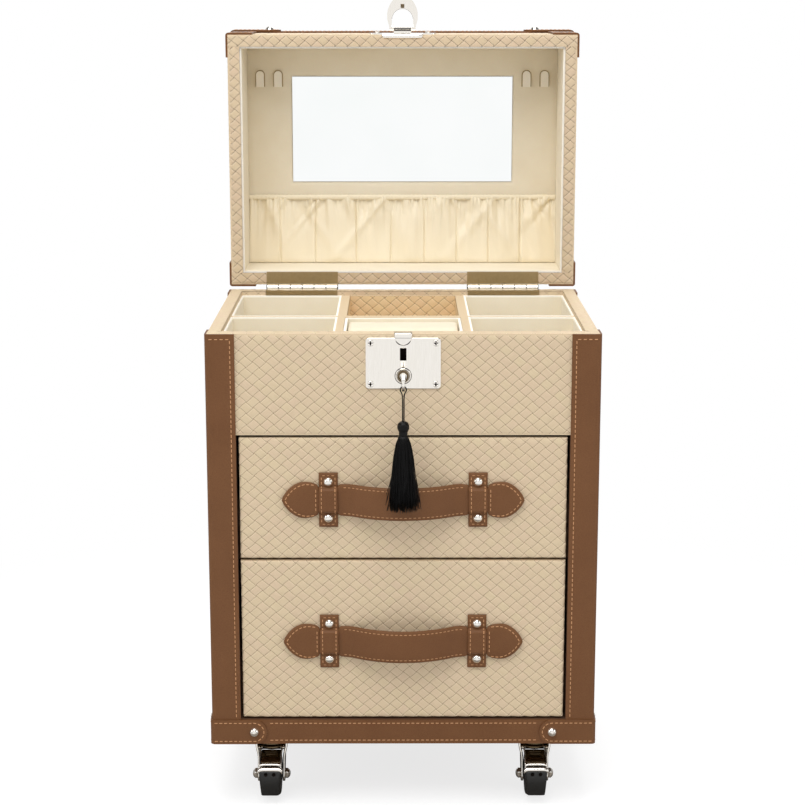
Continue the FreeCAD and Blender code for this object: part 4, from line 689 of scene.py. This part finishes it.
def turned(centre, axis, profile, steps=48, flats=0.0, ring=False):
    """A profile of pairs, along an axis and out from it, carried round the axis; flats cuts the radius to a hexagon, flats
    over the cosine of the angle from the nearest flat."""
    a = np.linspace(0, 2 * np.pi, steps, endpoint=False)
    profile = np.asarray(profile, float)
    out = np.repeat(profile[:, 1:], steps, 1)
    if flats:
        out = np.minimum(out, flats / np.cos((a + np.pi / 6) % (np.pi / 3) - np.pi / 6))
    round_axis = np.cos(a)[:, None] * np.roll(axis, 1) + np.sin(a)[:, None] * np.roll(axis, 2)
    points = np.array(centre) + profile[:, 0, None, None] * axis + out[..., None] * round_axis
    return points, list(quads(len(profile), steps, loop_rows=ring, loop_cols=True))


def inlay(made, material, chosen):
    """Gives a second material to the faces whose centres, in millimetres, are chosen."""
    spots = np.empty(3 * len(made.data.polygons))
    made.data.polygons.foreach_get("center", spots)
    made.data.materials.append(material)
    made.data.polygons.foreach_set("material_index", chosen(spots.reshape(-1, 3) * 1000).astype(np.int32))


def edge_loop(cut):
    """The plate's outline drawn in by a cut."""
    return rounded_loop(-36.2 + cut, 36.2 - cut, 430.6 + cut, 480.6 - cut, 3.4 - cut)


def slot_loop(grow):
    """The slot's outline grown by a lip."""
    return rounded_loop(-3.0 - grow, 3.0 + grow, 458.4 - grow, 470.4 + grow, 0.5 + grow)


PLATE_Y, PLUG_Z, REST_Z, REST_R = -169.3, 443.6, 482.5, 8.5
points = stacked([(slot_loop(0.0), -167.6), (slot_loop(0.0), -169.0), (slot_loop(0.3), -169.28), (slot_loop(0.7), PLATE_Y),
                  (edge_loop(1.5), PLATE_Y), (edge_loop(1.0), -169.28), (edge_loop(0.5), -169.14), (edge_loop(0.15), -168.8),
                  (edge_loop(0.0), -168.3), (edge_loop(0.0), -167.6)])
shapes = [(points, list(quads(10, points.shape[1], loop_rows=True, loop_cols=True)))]
bead = [(0.0, 7.7), (0.5, 7.6), (0.85, 7.2), (0.9, 6.8), (0.7, 6.2), (0.3, 5.8), (0.0, 5.7)]
shapes.append(turned((0, PLATE_Y + 0.05, PLUG_Z), -Y, bead, ring=True))
a = np.linspace(np.pi, 2 * np.pi, 33)
rest = np.stack([np.append(REST_R * np.cos(a), np.linspace(REST_R, -REST_R, 12)),
                 np.append(REST_Z + REST_R * np.sin(a), np.full(12, REST_Z + 4.0))], -1)
core = np.array([0.0, 481.5])
points = stacked([(core + (rest - core) * k, y) for k, y in (
    (1.0, -169.2), (1.0, -174.3), (0.985, -175.2), (0.94, -175.9), (0.86, -176.25), (0.80, -176.3), (0.0, -176.3))])
shapes.append((points, list(quads(7, len(rest), loop_cols=True)) + [np.arange(len(rest))]))
piece("lock_face", "case", nickel, *joined(shapes), "chrome", "lock_plate", closed=True)
# Screw heads: low domes 6.2 mm across with a cross cut 1 mm wide, its faces painted dark as its shade; then the
# engraved line, and a dark ring of painted shade at the foot of the raised ring.
r, tall = np.array([(0.0, 1.95), (0.35, 1.95), (0.5, 1.94), (0.8, 1.92), (1.2, 1.88), (1.7, 1.8), (2.0, 1.74), (2.1, 1.72),
                    (2.5, 1.6), (2.8, 1.5), (3.0, 1.4), (3.1, 1.2), (3.1, -0.1)]).T[..., None]
a = np.linspace(0, 2 * np.pi, 64, endpoint=False)[None, :]
across, high = r * np.cos(a), r * np.sin(a)
cross = (np.minimum(np.abs(across), np.abs(high)) < 0.52) & (np.maximum(np.abs(across), np.abs(high)) < 2.05)
tall = np.where(cross, 1.42, tall)
SCREW_X, SCREW_Z, MIDDLE_Z = 31.2, 20.0, 455.6
heads = [(xyz(x + across, PLATE_Y - tall, MIDDLE_Z + z + high), list(quads(13, 64, loop_cols=True)))
         for x in (-SCREW_X, SCREW_X) for z in (-SCREW_Z, SCREW_Z)]
screws = piece("lock_screw_heads", "case", nickel, *joined(heads), "chrome")
# painted shade: the faces of the cross cuts take the nearly black steel
inlay(screws, blackened_steel_and_painted_shade, lambda at: (at[:, 1] > PLATE_Y - 1.65) & (
    np.hypot(np.abs(at[:, 0]) - SCREW_X, np.abs(at[:, 2] - MIDDLE_Z) - SCREW_Z) < 2.05))
line = ribbon(xyz(0.0, PLATE_Y, np.linspace(451.6, 456.6, 6)), -Y, X, 0.5, 0.12, 0.0)
# painted shade: a dark ring at the foot of the raised ring
circle = turned((0, PLATE_Y, PLUG_Z), -Y, [(-0.1, 8.2), (0.06, 8.15), (0.06, 7.6), (-0.1, 7.5)], ring=True)
# Two dark arcs of painted shade where the rest's lower lip is undercut for the hasp's tongue, and a painted shade line
# at the crease above it.
half = np.interp(np.linspace(0, 1, 16), [0, 0.3, 0.7, 1], [0.15, 0.55, 0.55, 0.15])
shades = []
for low, high in ((206, 258), (282, 334)):
    a = np.radians(np.linspace(low, high, 16))
    out = xyz(0.55 * np.cos(a), -0.83, 0.55 * np.sin(a))
    path = xyz(7.9 * np.cos(a), -176.05, REST_Z + 7.9 * np.sin(a))
    shades.append(ribbon(path, out, np.cross(xyz(-np.sin(a), 0.0, np.cos(a)), out), half, 0.12, 0.0))
shades.append(ribbon(xyz(np.linspace(-8.2, 8.2, 8), -176.3, 481.6), -Y, Z, 0.16, 0.10, 0.0))
piece("lock_engraving_and_painted_shade", "case", blackened_steel_and_painted_shade, *joined([line, circle] + shades), "steel", closed=True)

# Hinges: pressed leaves whose flats are rougher and painted a dull yellowish tint, a painted reflection, while the six
# rolled knuckles are polished, with painted shade as dark rings in the gaps between them; the hasp turns on a thicker
# barrel between two stops on its plate.
leaf_nickel_painted_reflection, tree = new_material("nickel_plate_with_painted_reflection")
where = add(tree, "TexCoord")
rub_and_sheen = add(tree, "TexNoise", {}, {"Scale": 400.0, "Detail": 3.0}, {"Vector": where.outputs["Object"]})
tint = add(tree, "Mix", COLOUR, {6: linear("#a08d6a"), 7: linear("#b3a07c")}, {0: rub_and_sheen})
off = add(tree, "VectorMath", {"operation": "SUBTRACT"}, {1: (0.0, 0.106, 0.4855)}, {0: where.outputs["Object"]})
off = add(tree, "VectorMath", {"operation": "MULTIPLY"}, {1: (0.0, 1.0, 1.0)}, {0: off})
off = add(tree, "VectorMath", {"operation": "LENGTH"}, {}, {0: off})
# painted reflection: away from the knuckles the leaves take a dull yellowish tint
flat = add(tree, "MapRange", {}, {"From Min": 0.0038, "From Max": 0.0048}, {"Value": off.outputs["Value"]})
tint = add(tree, "Mix", COLOUR, {6: linear("#f0ece4")}, {0: flat, 7: tint.outputs[2]})
gloss = add(tree, "MapRange", {}, {"To Min": 0.10, "To Max": 0.34}, {"Value": flat})
shade = add(tree, "BsdfPrincipled", {}, {"Metallic": 1.0}, {"Base Color": tint.outputs[2], "Roughness": gloss})
add(tree, "OutputMaterial", {}, {}, {"Surface": shade})
dress(leaf_nickel_painted_reflection, "hinge_body_leaves", "hinge_lid_leaves")
# Bronzed steel: a dark brownish metal, on the cups of the casters; on the lock's plug and the hasp's cut edges it is
# painted shade, and on the casters' aprons painted shade and a painted reflection of the brown leather.
bronzed_steel_and_painted_shade = grained("bronzed_steel_and_painted_shade", "#5a4a36", "#84745a", 160.0, 3.0, {"Metallic": 1.0}, gloss=(0.16, 0.30))
# painted shade: the recessed plug is dressed dark
dress(bronzed_steel_and_painted_shade, "lock_plug")


def two_sided(half):
    """A turned profile that is the same to both sides, from its half."""
    return [(-d, r) for d, r in half] + half[::-1]


HINGE_PIN_Y, HINGE_PIN_Z, KNUCKLE = 106.0, 485.5, 13.0
# painted shade: thin dark rings in the gaps between the knuckles
gap = two_sided([(0.45, 1.0), (0.45, 3.58)])
spots = KNUCKLE * np.arange(7) + np.array([0.3, 0, 0, 0, 0, 0, -0.3])
shapes = [turned((x0 + spot, HINGE_PIN_Y, HINGE_PIN_Z), X, gap, ring=True) for x0 in (-149.0, 71.0) for spot in spots]
piece("hinge_knuckle_gap_shade", "lid", blackened_steel_and_painted_shade, *joined(shapes), "steel", closed=True)
HASP_PIN = np.array([0, 112.4, 766.5])
roll = two_sided([(9.4, 0.0), (9.4, 3.3), (9.2, 3.64), (8.9, 3.7)])
piece("hasp_barrel", "lid", nickel, *turned(HASP_PIN, X, roll), "chrome", closed=True)
# painted shade: two dark lines along the barrel, 20 and 58 degrees below its front
shapes = []
for low, half in ((20, 0.7), (58, 1.2)):
    out = -np.array([0.0, math.cos(math.radians(low)), math.sin(math.radians(low))])
    path = np.linspace(-9.3, 9.3, 8)[:, None] * X + HASP_PIN + 3.72 * out
    shapes.append(ribbon(path, out, np.cross(out, X), half, 0.16, 0.0))
piece("hasp_barrel_shade_lines", "lid", blackened_steel_and_painted_shade, *joined(shapes), "steel", closed=True)
# The plate's lower edge is rolled over the rim of the lid, and the edge of the hasp's opening is painted dark, as its
# shade.
y, z, half = np.array([(111.5, 760.3, 22.0), (109.4, 760.25, 22.0), (108.4, 760.0, 22.0), (107.5, 759.4, 22.0),
                       (106.9, 758.5, 21.9), (106.65, 757.4, 21.5), (106.6, 756.2, 20.8), (106.6, 755.2, 19.4)]).T
front = xyz(0.0, np.gradient(z), -np.gradient(y)) / np.hypot(np.gradient(y), np.gradient(z))[:, None]
piece("hasp_plate_lip", "lid", nickel, *ribbon(xyz(0.0, y, z), front, X, half, 0.9, 0.0), "chrome", closed=True)
a = np.linspace(0.05, np.pi - 0.05, 40)
way = xyz(np.cos(a), 0.0, np.sin(a))
sleeve = ribbon(11.3 * way + [0, 108.3, 775.1], -way, Y, 1.3, 0.3, 0.0)
points = stacked([(rounded_loop(-1.9 + c, 1.9 - c, 787.2 + c, 791.4 - c, 0.7 - 0.4 * c), y)
                  for c, y in ((0, 99.4), (0, 98.95), (0.25, 98.8), (0.8, 98.78))])
end = np.arange(points.shape[1])
cap = points, list(quads(4, len(end), loop_cols=True)) + [end, end + 3 * len(end)]
piece("hasp_opening_edge", "hasp", bronzed_steel_and_painted_shade, *joined([sleeve, cap]), "chrome", closed=True)

# Linings: cream velour on white card in the tray, the drawers and the lid, with a short matt nap. The card's cut edges,
# at the top of the tray boxes and at the front of the lid's lining, stay white. The partitions are wrapped in tan leather.
linings = {}
for name, dark, pale, axis, sewn, cut in (
    ("cream_velour", "#ecdfc5", "#f4ead4", None, 0, 0),
    ("pale_peg_suede", "#f8efdc", "#fdf6e8", None, 0, 0),
    # painted light: the tray's velour is a little paler than the rest, against the shade inside its deep boxes
    ("cream_velour_on_tray_card", "#f1e6cf", "#f8f0dc", 2, 0.4774, 0.4778),
    # painted shade in the crease round each peg
    ("tucked_velour", "#a8936c", "#b8a37c", None, 0, 0),
    ("cream_velour_on_lid_card", "#ece0c7", "#f4ead4", 1, 0.1114, 0.1108),
):
    linings[name], tree = new_material(name)
    where = add(tree, "TexCoord")
    nap = add(tree, "TexNoise", {}, {"Scale": 1400.0, "Detail": 3.0}, {"Vector": where.outputs["Object"]})
    cloud = add(tree, "TexNoise", {}, {"Scale": 45.0, "Detail": 2.0}, {"Vector": where.outputs["Object"]})
    tint = add(tree, "Mix", COLOUR, {6: linear(dark), 7: linear(pale)}, {0: cloud})
    tint = add(tree, "Mix", {"data_type": "RGBA", "blend_type": "MULTIPLY"}, {0: 0.16}, {6: tint.outputs[2], 7: nap.outputs[1]})
    if axis:
        spot = add(tree, "SeparateXYZ", {}, {}, {0: where.outputs["Object"]})
        edge = add(tree, "MapRange", {}, {"From Min": sewn, "From Max": cut}, {"Value": spot.outputs[axis]})
        tint = add(tree, "Mix", COLOUR, {7: linear("#fcf8ee")}, {0: edge, 6: tint.outputs[2]})
    ridge = add(tree, "Bump", {}, {"Strength": 0.25, "Distance": 0.0002}, {"Height": nap})
    velour = {"Roughness": 0.95, "Specular IOR Level": 0.15, "Sheen Weight": 0.15, "Sheen Roughness": 0.5}
    shade = add(tree, "BsdfPrincipled", {}, velour, {"Base Color": tint.outputs[2], "Normal": ridge})
    add(tree, "OutputMaterial", {}, {}, {"Surface": shade})
cream_velour = linings["cream_velour"]
dress(cream_velour, "upper_drawer_box", "lower_drawer_box")
dress(linings["pale_peg_suede"], "necklace_pegs")
dress(linings["cream_velour_on_tray_card"], "tray_liners", "ring_tray")
dress(linings["cream_velour_on_lid_card"], "lid_lining")
dress(plain_tan, "tray_partitions")

# Well of the tray: the open compartment behind the ring tray. Its walls and floor are covered with the woven leather,
# which lies flat there and is painted warmer and brighter, painted light against the shade inside the well.
WELL_X, WELL_FRONT, WELL_BACK, WELL_FLOOR = 57.2, -39.0, 88.5, 396.5
WELL_Y, WELL_Z = (WELL_FRONT + WELL_BACK) / 2, 437.5
WELL_WIDE, WELL_DEEP, WELL_TALL = 114, WELL_BACK - WELL_FRONT, 83
woven("weave_tray_well", "case", [
    ((0, WELL_BACK, WELL_Z), X, Z, WELL_WIDE, WELL_TALL),
    ((-WELL_X, WELL_Y, WELL_Z), Y, Z, WELL_DEEP, WELL_TALL),
    ((WELL_X, WELL_Y, WELL_Z), -Y, Z, WELL_DEEP, WELL_TALL),
    ((0, WELL_FRONT, WELL_Z), -X, Z, WELL_WIDE, WELL_TALL),
    ((0, WELL_Y, WELL_FLOOR), X, Y, WELL_WIDE, WELL_DEEP),
], 0.06, leather="woven_tan_leather_unfaded")

# Ring rolls: two foam bars covered in cream velour, pressed side by side into the ring tray, with a slit between them that
# holds the rings. Their section is a superellipse cut flat below, and it is drawn in a little at the ends.
u = np.sin(np.linspace(-np.pi / 2, np.pi / 2, 41))[:, None]
v = np.linspace(0, 2 * np.pi, 40, endpoint=False)
end = (1 - np.abs(u) ** 60) ** 0.25
wide = 25.1 * (1 - 0.02 * (1 - u ** 2))
y = wide * end * np.sign(np.cos(v)) * np.abs(np.cos(v)) ** 0.34
z = 449.2 + 27.4 * end * np.where(np.sin(v) > 0, np.abs(np.sin(v)) ** 0.36, 0.0)
bars = [(xyz(55.8 * u, y0 + y, z), quads(41, 40, loop_cols=True)) for y0 in (-126.98, -74.53)]
rolls = piece("ring_bars", "case", cream_velour, *joined(bars), "padding", "ring_rolls", closed=True)


# Lid panel: a foam pad covered in cream velour inside the lid's top, with a window for the mirror; it swells between its
# edges, where the velour is drawn tight.
def window(x, z, mid):
    """A rectangle's outline in 96 steps, from its lower left corner, by its half width, half height and middle height."""
    corners = np.array([(-x, mid - z), (x, mid - z), (x, mid + z), (-x, mid + z)])
    k = np.linspace(0, 1, 24, endpoint=False)[:, None]
    return np.concatenate([a * (1 - k) + b * k for a, b in zip(corners, np.roll(corners, -1, 0))])


share, depth = np.array([(0, 195.4), (0, 185.4), (0.02, 184.2), (0.06, 183.6), (0.15, 183.2), (0.35, 182.8), (0.6, 182.8),
                         (0.82, 183.0), (0.95, 183.4), (0.985, 184.0), (1.0, 185.0), (1.0, 195.4)]).T[..., None]
inner, outer = window(123.2, 58.7, 653), window(174.9, 122.4, 624)
x, z = (inner[:, k] * (1 - share) + outer[:, k] * share for k in (0, 1))
panel = piece("lid_pad", "lid", cream_velour, xyz(x, depth, z), quads(12, 96, loop_rows=True, loop_cols=True), "padding",
              "lid_padded_panel", closed=True)

# Peg tucks: round each of the four necklace pegs the pad's velour is tucked in, and the shade in that crease is painted
# as a darker line, a thin ribbon up one side of the peg, over its round top and down the other.
a = np.linspace(np.pi, 0, 13)
out = xyz(np.cos(a), 0.0, np.sin(a))[[0, *range(13), 12]]
shapes = []
for x0 in (-158.5, -138.5, 138.5, 158.5):
    path = 4.75 * out + [x0, 182.55, 713.4]
    path[[0, -1], 2] = 700.4
    shapes.append(ribbon(path, -Y, out, 0.62, 0.5, 0.0))
piece("peg_tuck_shade", "lid", linings["tucked_velour"], *joined(shapes), "padding", closed=True)

# Mirror: a sheet of silvered float glass, let into a recess of the pad. It mirrors the room clearly, with a trace of
# haze.
silvered = grained("silvered_glass", "#f6f9f8", "#fcfdfd", 14.0, 2.0, {"Metallic": 1.0}, gloss=(0.0, 0.012))
dress(silvered, "mirror")

# Lid pocket: ivory satin gathered on an elastic hem and sewn down in nine billows, full at the foot. Satin has a soft shine
# and a fine rib across; its yarns are drawn 0.4 by 1.1 mm, coarser than they are, so that they show.
ivory_satin, tree = new_material("ivory_satin")
lay = add(tree, "UVMap", {"uv_map": "lay"})
yarn = add(tree, "Mapping", {}, {"Scale": (900.0, 2600.0, 1.0)}, {"Vector": lay})
yarn = add(tree, "TexNoise", {}, {"Scale": 1.0, "Detail": 2.0}, {"Vector": yarn})
tint = add(tree, "Mix", COLOUR, {6: linear("#ecdfc3"), 7: linear("#f4e8ce")}, {0: yarn})
ridge = add(tree, "Bump", {}, {"Strength": 0.12, "Distance": 0.0002}, {"Height": yarn})
shade = add(tree, "BsdfPrincipled", {}, {"Roughness": 0.45, "Specular IOR Level": 0.4, "Sheen Weight": 0.2},
            {"Base Color": tint.outputs[2], "Normal": ridge})
add(tree, "OutputMaterial", {}, {}, {"Surface": shade})

# Cloth: its depth is a swell that grows downward, less a tuck at every seam, plus gathers. Those are sine waves across each
# billow, with a lag and a bend of their own, and they die out below the hem.
seams = np.array([-172.8, -137.7, -98.3, -51.8, -13.2, 24.7, 61.2, 97.0, 132.5, 172.8])
cols, rows_n = 48, 48
k = (1 - np.cos(np.pi * np.linspace(0, 1, cols, endpoint=False))) / 2
x = np.append((seams[:-1, None] + np.diff(seams)[:, None] * k).ravel(), seams[-1])
local = np.append(np.tile(k, 9), 0.0)
billow = np.append(np.repeat(np.arange(9), cols), 8)
down = np.linspace(0, 1, rows_n)
rng = np.random.default_rng(11)
swell = np.interp(down, [0, 0.08, 0.3, 0.7, 0.94, 1.0], [2.4, 3.6, 7.2, 11.2, 13.2, 12.6])[:, None]
arch = np.sqrt(np.maximum(1 - (2 * local - 1) ** 2, 0))[None, :]
gather = np.zeros((rows_n, len(x)))
for wave_n, size, fade in ((2, 0.9, 1.2), (4, 1.3, 3.2), (8, 1.5, 6.0), (13, 0.7, 9.0)):
    lag = rng.uniform(0, 2 * np.pi, 9)[billow]
    bent = rng.uniform(-1.0, 1.0, 9)[billow]
    gather += size * np.sin(2 * np.pi * wave_n * local + lag + bent * down[:, None] * 4) * np.exp(-fade * down)[:, None]
# Pulled folds: 90 soft ridges that start at the elastic, run down at a slant and die out.
start, slant, fold, wide, dies = (rng.uniform(a, b, (90, 1, 1)) for a, b in (
    (-170, 170), (-70, 70), (-3.4, 3.6), (2.4, 6.5), (0.2, 1.2)))
low = down[:, None]
folds = fold * np.exp(-((x - start - slant * low) / (wide * (1 + 1.5 * low))) ** 2) * np.exp(-(low / dies) ** 2)
gather += folds.sum(0)
seam = np.abs(x[None, :] - seams[:, None]).min(0)
tuck = (1.5 * np.exp(-(seam / 0.9) ** 2) - 0.7 * arch[0] + 0.7) * (np.abs(x) < 172)
tuck = tuck * np.interp(down, [0, 0.1, 0.9, 1], [0.3, 1.0, 1.0, 0.6])[:, None]
gather *= np.interp(down, [0, 0.1, 0.9, 1], [0.6, 1, 0.8, 0.3])[:, None]
y = 183.3 - (swell - tuck + gather).clip(0.6)
points = xyz(x, y.clip(168.2, 183.2), 577.5 - 73.6 * low)
lay = np.stack(np.broadcast_arrays(x * 1e-3, low * 0.085), -1)
pocket = piece("pocket_cloth", "lid", ivory_satin, points, quads(rows_n, len(x))[:, ::-1], "satin", "pocket", uv=lay)
wall = pocket.modifiers.new("cloth", "SOLIDIFY")
wall.thickness, wall.offset = 0.0006, -1.0
# Hem: an oval tube over the elastic, puckered every 4.6 mm.
turn = np.linspace(0, 2 * np.pi, 10, endpoint=False)
x = x[:, None]
pucker = 0.5 * np.sin(x * 2 * np.pi / 4.6) + 0.25 * np.sin(x * 1.9)
points = xyz(x, 180.6 + 0.35 * pucker + 1.5 * np.cos(turn), 577.0 + 0.2 * pucker + (2.9 + 0.25 * pucker) * np.sin(turn))
faces = list(quads(len(x), 10, loop_cols=True)) + [np.arange(10), np.arange(10) + 10 * (len(x) - 1)]
lay = np.stack(np.broadcast_arrays(x * 1e-3, turn * 0.002), -1)
hem = piece("pocket_hem", "lid", ivory_satin, points, faces, "satin", closed=True, uv=lay)

# Casters: a pressed, nickel-plated fork under a ball race, two flanged legs with cap nuts on the axle, a black nylon tyre
# on a grey ribbed hub, and on the front ones a brake: a stirrup of plated strip with a moulded foot pad. Nylon from a mould
# has a fine grit and a dull shine.
moulded = {"Roughness": 0.42, "Specular IOR Level": 0.4}
black_nylon = grained("black_moulded_nylon", "#131312", "#262523", 1100.0, 3.0, moulded, relief=(0.2, 0.0002))
grey_nylon = grained("grey_moulded_nylon", "#4b4a48", "#5c5a57", 1100.0, 3.0, moulded, relief=(0.2, 0.0002))
# Profiles: the race and cup by height and radius, the others by distance from the wheel's middle and radius.
CUP = [(62.0, 4.3), (62.0, 16.4), (61.6, 17.5), (60.9, 17.9), (60.2, 17.5), (59.9, 16.9), (59.5, 17.4), (58.9, 17.7),
       (58.3, 17.3), (57.8, 15.6), (55.6, 15.0), (53.6, 14.5), (53.0, 14.9), (52.2, 15.15), (51.4, 14.9), (50.8, 14.4),
       (49.2, 14.2), (48.6, 14.4), (47.6, 14.55), (46.8, 14.3), (46.6, 13.9), (47.0, 13.5), (48.5, 13.3), (56.4, 13.3),
       (57.5, 12.8), (57.9, 12.0), (57.9, 4.3)]
NUT = [(19.2, 0.0), (19.1, 1.5), (18.6, 3.1), (17.7, 4.2), (17.0, 4.6), (16.8, 5.5), (14.2, 5.5), (14.0, 4.6), (13.9, 3.0)]
TYRE = [(9.9, 15.0), (9.9, 19.2), (9.3, 20.8), (8.0, 21.7), (6.4, 22.0)]
HUB = [(9.6, 15.0), (9.6, 13.9), (8.9, 13.4), (7.2, 12.6), (7.2, 7.4), (8.9, 6.4), (10.3, 6.0), (10.3, 3.1)]

CASTER_X, FRONT_CASTER_Y, REAR_CASTER_Y, TRAIL, AXLE_Z = 134.0, -115.5, 50.5, 16.0, 22.0
HOLE_X, HOLE_R, HOLE_TURN = 4.0, 1.75, math.radians(160)
for place, sx, cy, way in (
    ("front_left", -CASTER_X, FRONT_CASTER_Y, -1),
    ("front_right", CASTER_X, FRONT_CASTER_Y, -1),
    ("rear_left", -CASTER_X, REAR_CASTER_Y, 1),
    ("rear_right", CASTER_X, REAR_CASTER_Y, 1),
):
    ay = cy + TRAIL * way
    axle = np.array([sx, ay, AXLE_Z])
    cup = turned((sx, cy, 0), Z, CUP, ring=True)
    piece("caster_race_" + place, "swivel_" + place, bronzed_steel_and_painted_shade, *cup, "steel", closed=True)
    # Fork: two legs from the race down to the axle, drawn in by a smooth step between 53 and 38 mm and round at the foot.
    shapes = []
    z = np.concatenate([np.linspace(57.6, 24.0, 18), AXLE_Z - 8.0 * np.sin(np.linspace(0.0, 0.496 * np.pi, 9))])
    share = np.clip((z - 38.0) / 15.0, 0, 1)
    reach = 12.6 + 2.7 * share ** 2 * (3 - 2 * share)
    half = np.where(z > AXLE_Z, np.interp(z, [20, 58], [7.6, 13.2]), np.sqrt(np.maximum(64 - (AXLE_Z - z) ** 2, 0.04)))
    slope = np.gradient(reach, z)
    for s in (-1, 1):
        front = xyz(s, 0.0, -slope) / np.sqrt(1 + slope ** 2)[:, None]
        shapes.append(ribbon(xyz(sx + s * reach, np.interp(z, [20, 57], [ay, cy]), z), front, Y, half, 2.4, -0.9))
    shapes.append(turned(axle, X, two_sided(NUT), flats=4.85))
    piece("caster_fork_" + place, "swivel_" + place, nickel, *joined(shapes), "chrome", "fork_" + place, closed=True)
    tread = turned(axle, X, two_sided(TYRE), steps=72, ring=True)
    piece("caster_tyre_" + place, "wheel_" + place, black_nylon, *tread, "black_wheel", "wheel_" + place, closed=True)
    # Hub: its dished faces rise to six ribs, a clipped cosine of the angle.
    points, faces = turned(axle, X, two_sided(HUB), steps=72, ring=True)
    rib = 1.7 * np.clip(np.cos(6 * np.linspace(0, 2 * np.pi, 72, endpoint=False)) * 4 - 2.6, 0, 1)
    points[[3, 4], :, 0] -= rib
    points[[11, 12], :, 0] += rib
    piece("caster_hub_" + place, "wheel_" + place, grey_nylon, points, faces, "black_wheel", closed=True)
    if way > 0:
        continue

    # Brake: two arms beside the wheel from the pin to a cross bar; the pad hangs from the bar, with two blind holes at
    # 160 degrees round the wheel.
    def ring_at(r, turn):
        """Points, outward directions and directions along the wheel's round at radius r; 90 degrees is up, 180 to the front."""
        turn = np.radians(np.atleast_1d(turn))
        out = xyz(0.0, np.cos(turn), np.sin(turn))
        return axle + r * out, out, xyz(0.0, -np.sin(turn), np.cos(turn))

    turn = np.linspace(68, 151, 24)
    path, out, run = ring_at(26.2, turn)
    half = np.interp(turn, [68, 72, 80, 151], [2.0, 3.3, 2.9, 2.4])
    shapes = [ribbon(path + s * 10.75 * X, s * X, out, half, 1.0, 0.0) for s in (-1, 1)]
    pin = [(13.3, 0), (13.2, 1.6), (12.8, 2.0)]
    shapes.append(turned(ring_at(26.0, 75.0)[0][0], X, two_sided(pin), steps=24))
    across = np.linspace(-12.4, 12.4, 13)[:, None]
    drop = 1.6 * np.abs(across / 12.4) ** 6
    for r, turn, reach, half, thick, crown in ((28.6, 150.0, 1.0, 2.5, 2.8, 0.3), (27.9, 139.0, 0.9, 1.5, 1.6, 0.2)):
        at, out, run = ring_at(r, turn)
        shapes.append(ribbon(at + across * reach * X + drop * run, out, run, half, thick, crown))
    piece("brake_stirrup_" + place, "pedal_" + place, nickel, *joined(shapes), "chrome", closed=True)
    # Apron: a bent sheet from the cup's lower lip round the front of the wheel, with the spring leaf that holds the
    # brake; its dark brown is painted shade and a painted reflection of the brown leather.
    turn = np.linspace(86, 133, 24)
    path, out, run = ring_at(24.3, turn)
    sheets = [ribbon(path, out, X, np.interp(turn, [86, 130, 133], [9.9, 9.9, 9.0]), 0.8, 0.0)]
    for turn, wide in ((100.0, 6.4), (108.0, 5.6)):
        at, out, run = ring_at(25.1, turn)
        across = np.linspace(-wide, wide, 9)[:, None]
        sheets.append(ribbon(at + across * X - 0.5 * (across / wide) ** 2 * run, out, run, 0.9, 0.8, 0.2))
    piece("caster_apron_" + place, "swivel_" + place, bronzed_steel_and_painted_shade, *joined(sheets), "steel", closed=True)
    # Pad: a cushion bent round the wheel from 152 to 206 degrees, its four edges rounded by (1 - v^n)^0.3.
    turn = np.radians(np.linspace(152, 206, 64))[:, None]
    share = (turn - turn[0]) / (turn[-1] - turn[0])
    half = 11.4 - 2.4 * share
    k = np.concatenate([np.linspace(-1, 1, 61), np.linspace(1, -1, 7)[1:-1]])[None, :]
    x = k * half
    front = (np.arange(66) < 61)[None, :]
    round_x, round_turn = (np.maximum(1 - np.abs(v) ** power, 0) ** 0.3 for v, power in ((k, 10), (2 * share - 1, 14)))
    body_r = 3.6 * round_x * round_turn
    hole = np.hypot(np.abs(x) - HOLE_X, (turn - HOLE_TURN) * 30.0)
    body_r = body_r - 3.0 * np.clip((HOLE_R - hole) / 0.3, 0, 1)
    r = np.where(front, 27.0 + np.maximum(body_r, 0), 26.9)
    points = xyz(sx + x, ay + r * np.cos(turn), AXLE_Z + r * np.sin(turn))
    faces = list(quads(64, 66, loop_cols=True)) + [np.arange(66), np.arange(66) + 63 * 66]
    pad = piece("brake_pad_" + place, "pedal_" + place, black_nylon, points, faces, "pedal", "pedal_" + place, closed=True)
    # painted shade: the faces inside the two blind holes take the nearly black steel
    inlay(pad, blackened_steel_and_painted_shade, lambda at: (np.hypot(at[:, 1] - ay, at[:, 2] - AXLE_Z) < 29.6) & (np.hypot(
        np.abs(at[:, 0] - sx) - HOLE_X, (np.arctan2(at[:, 2] - AXLE_Z, at[:, 1] - ay) - HOLE_TURN) * 30.0) < HOLE_R))
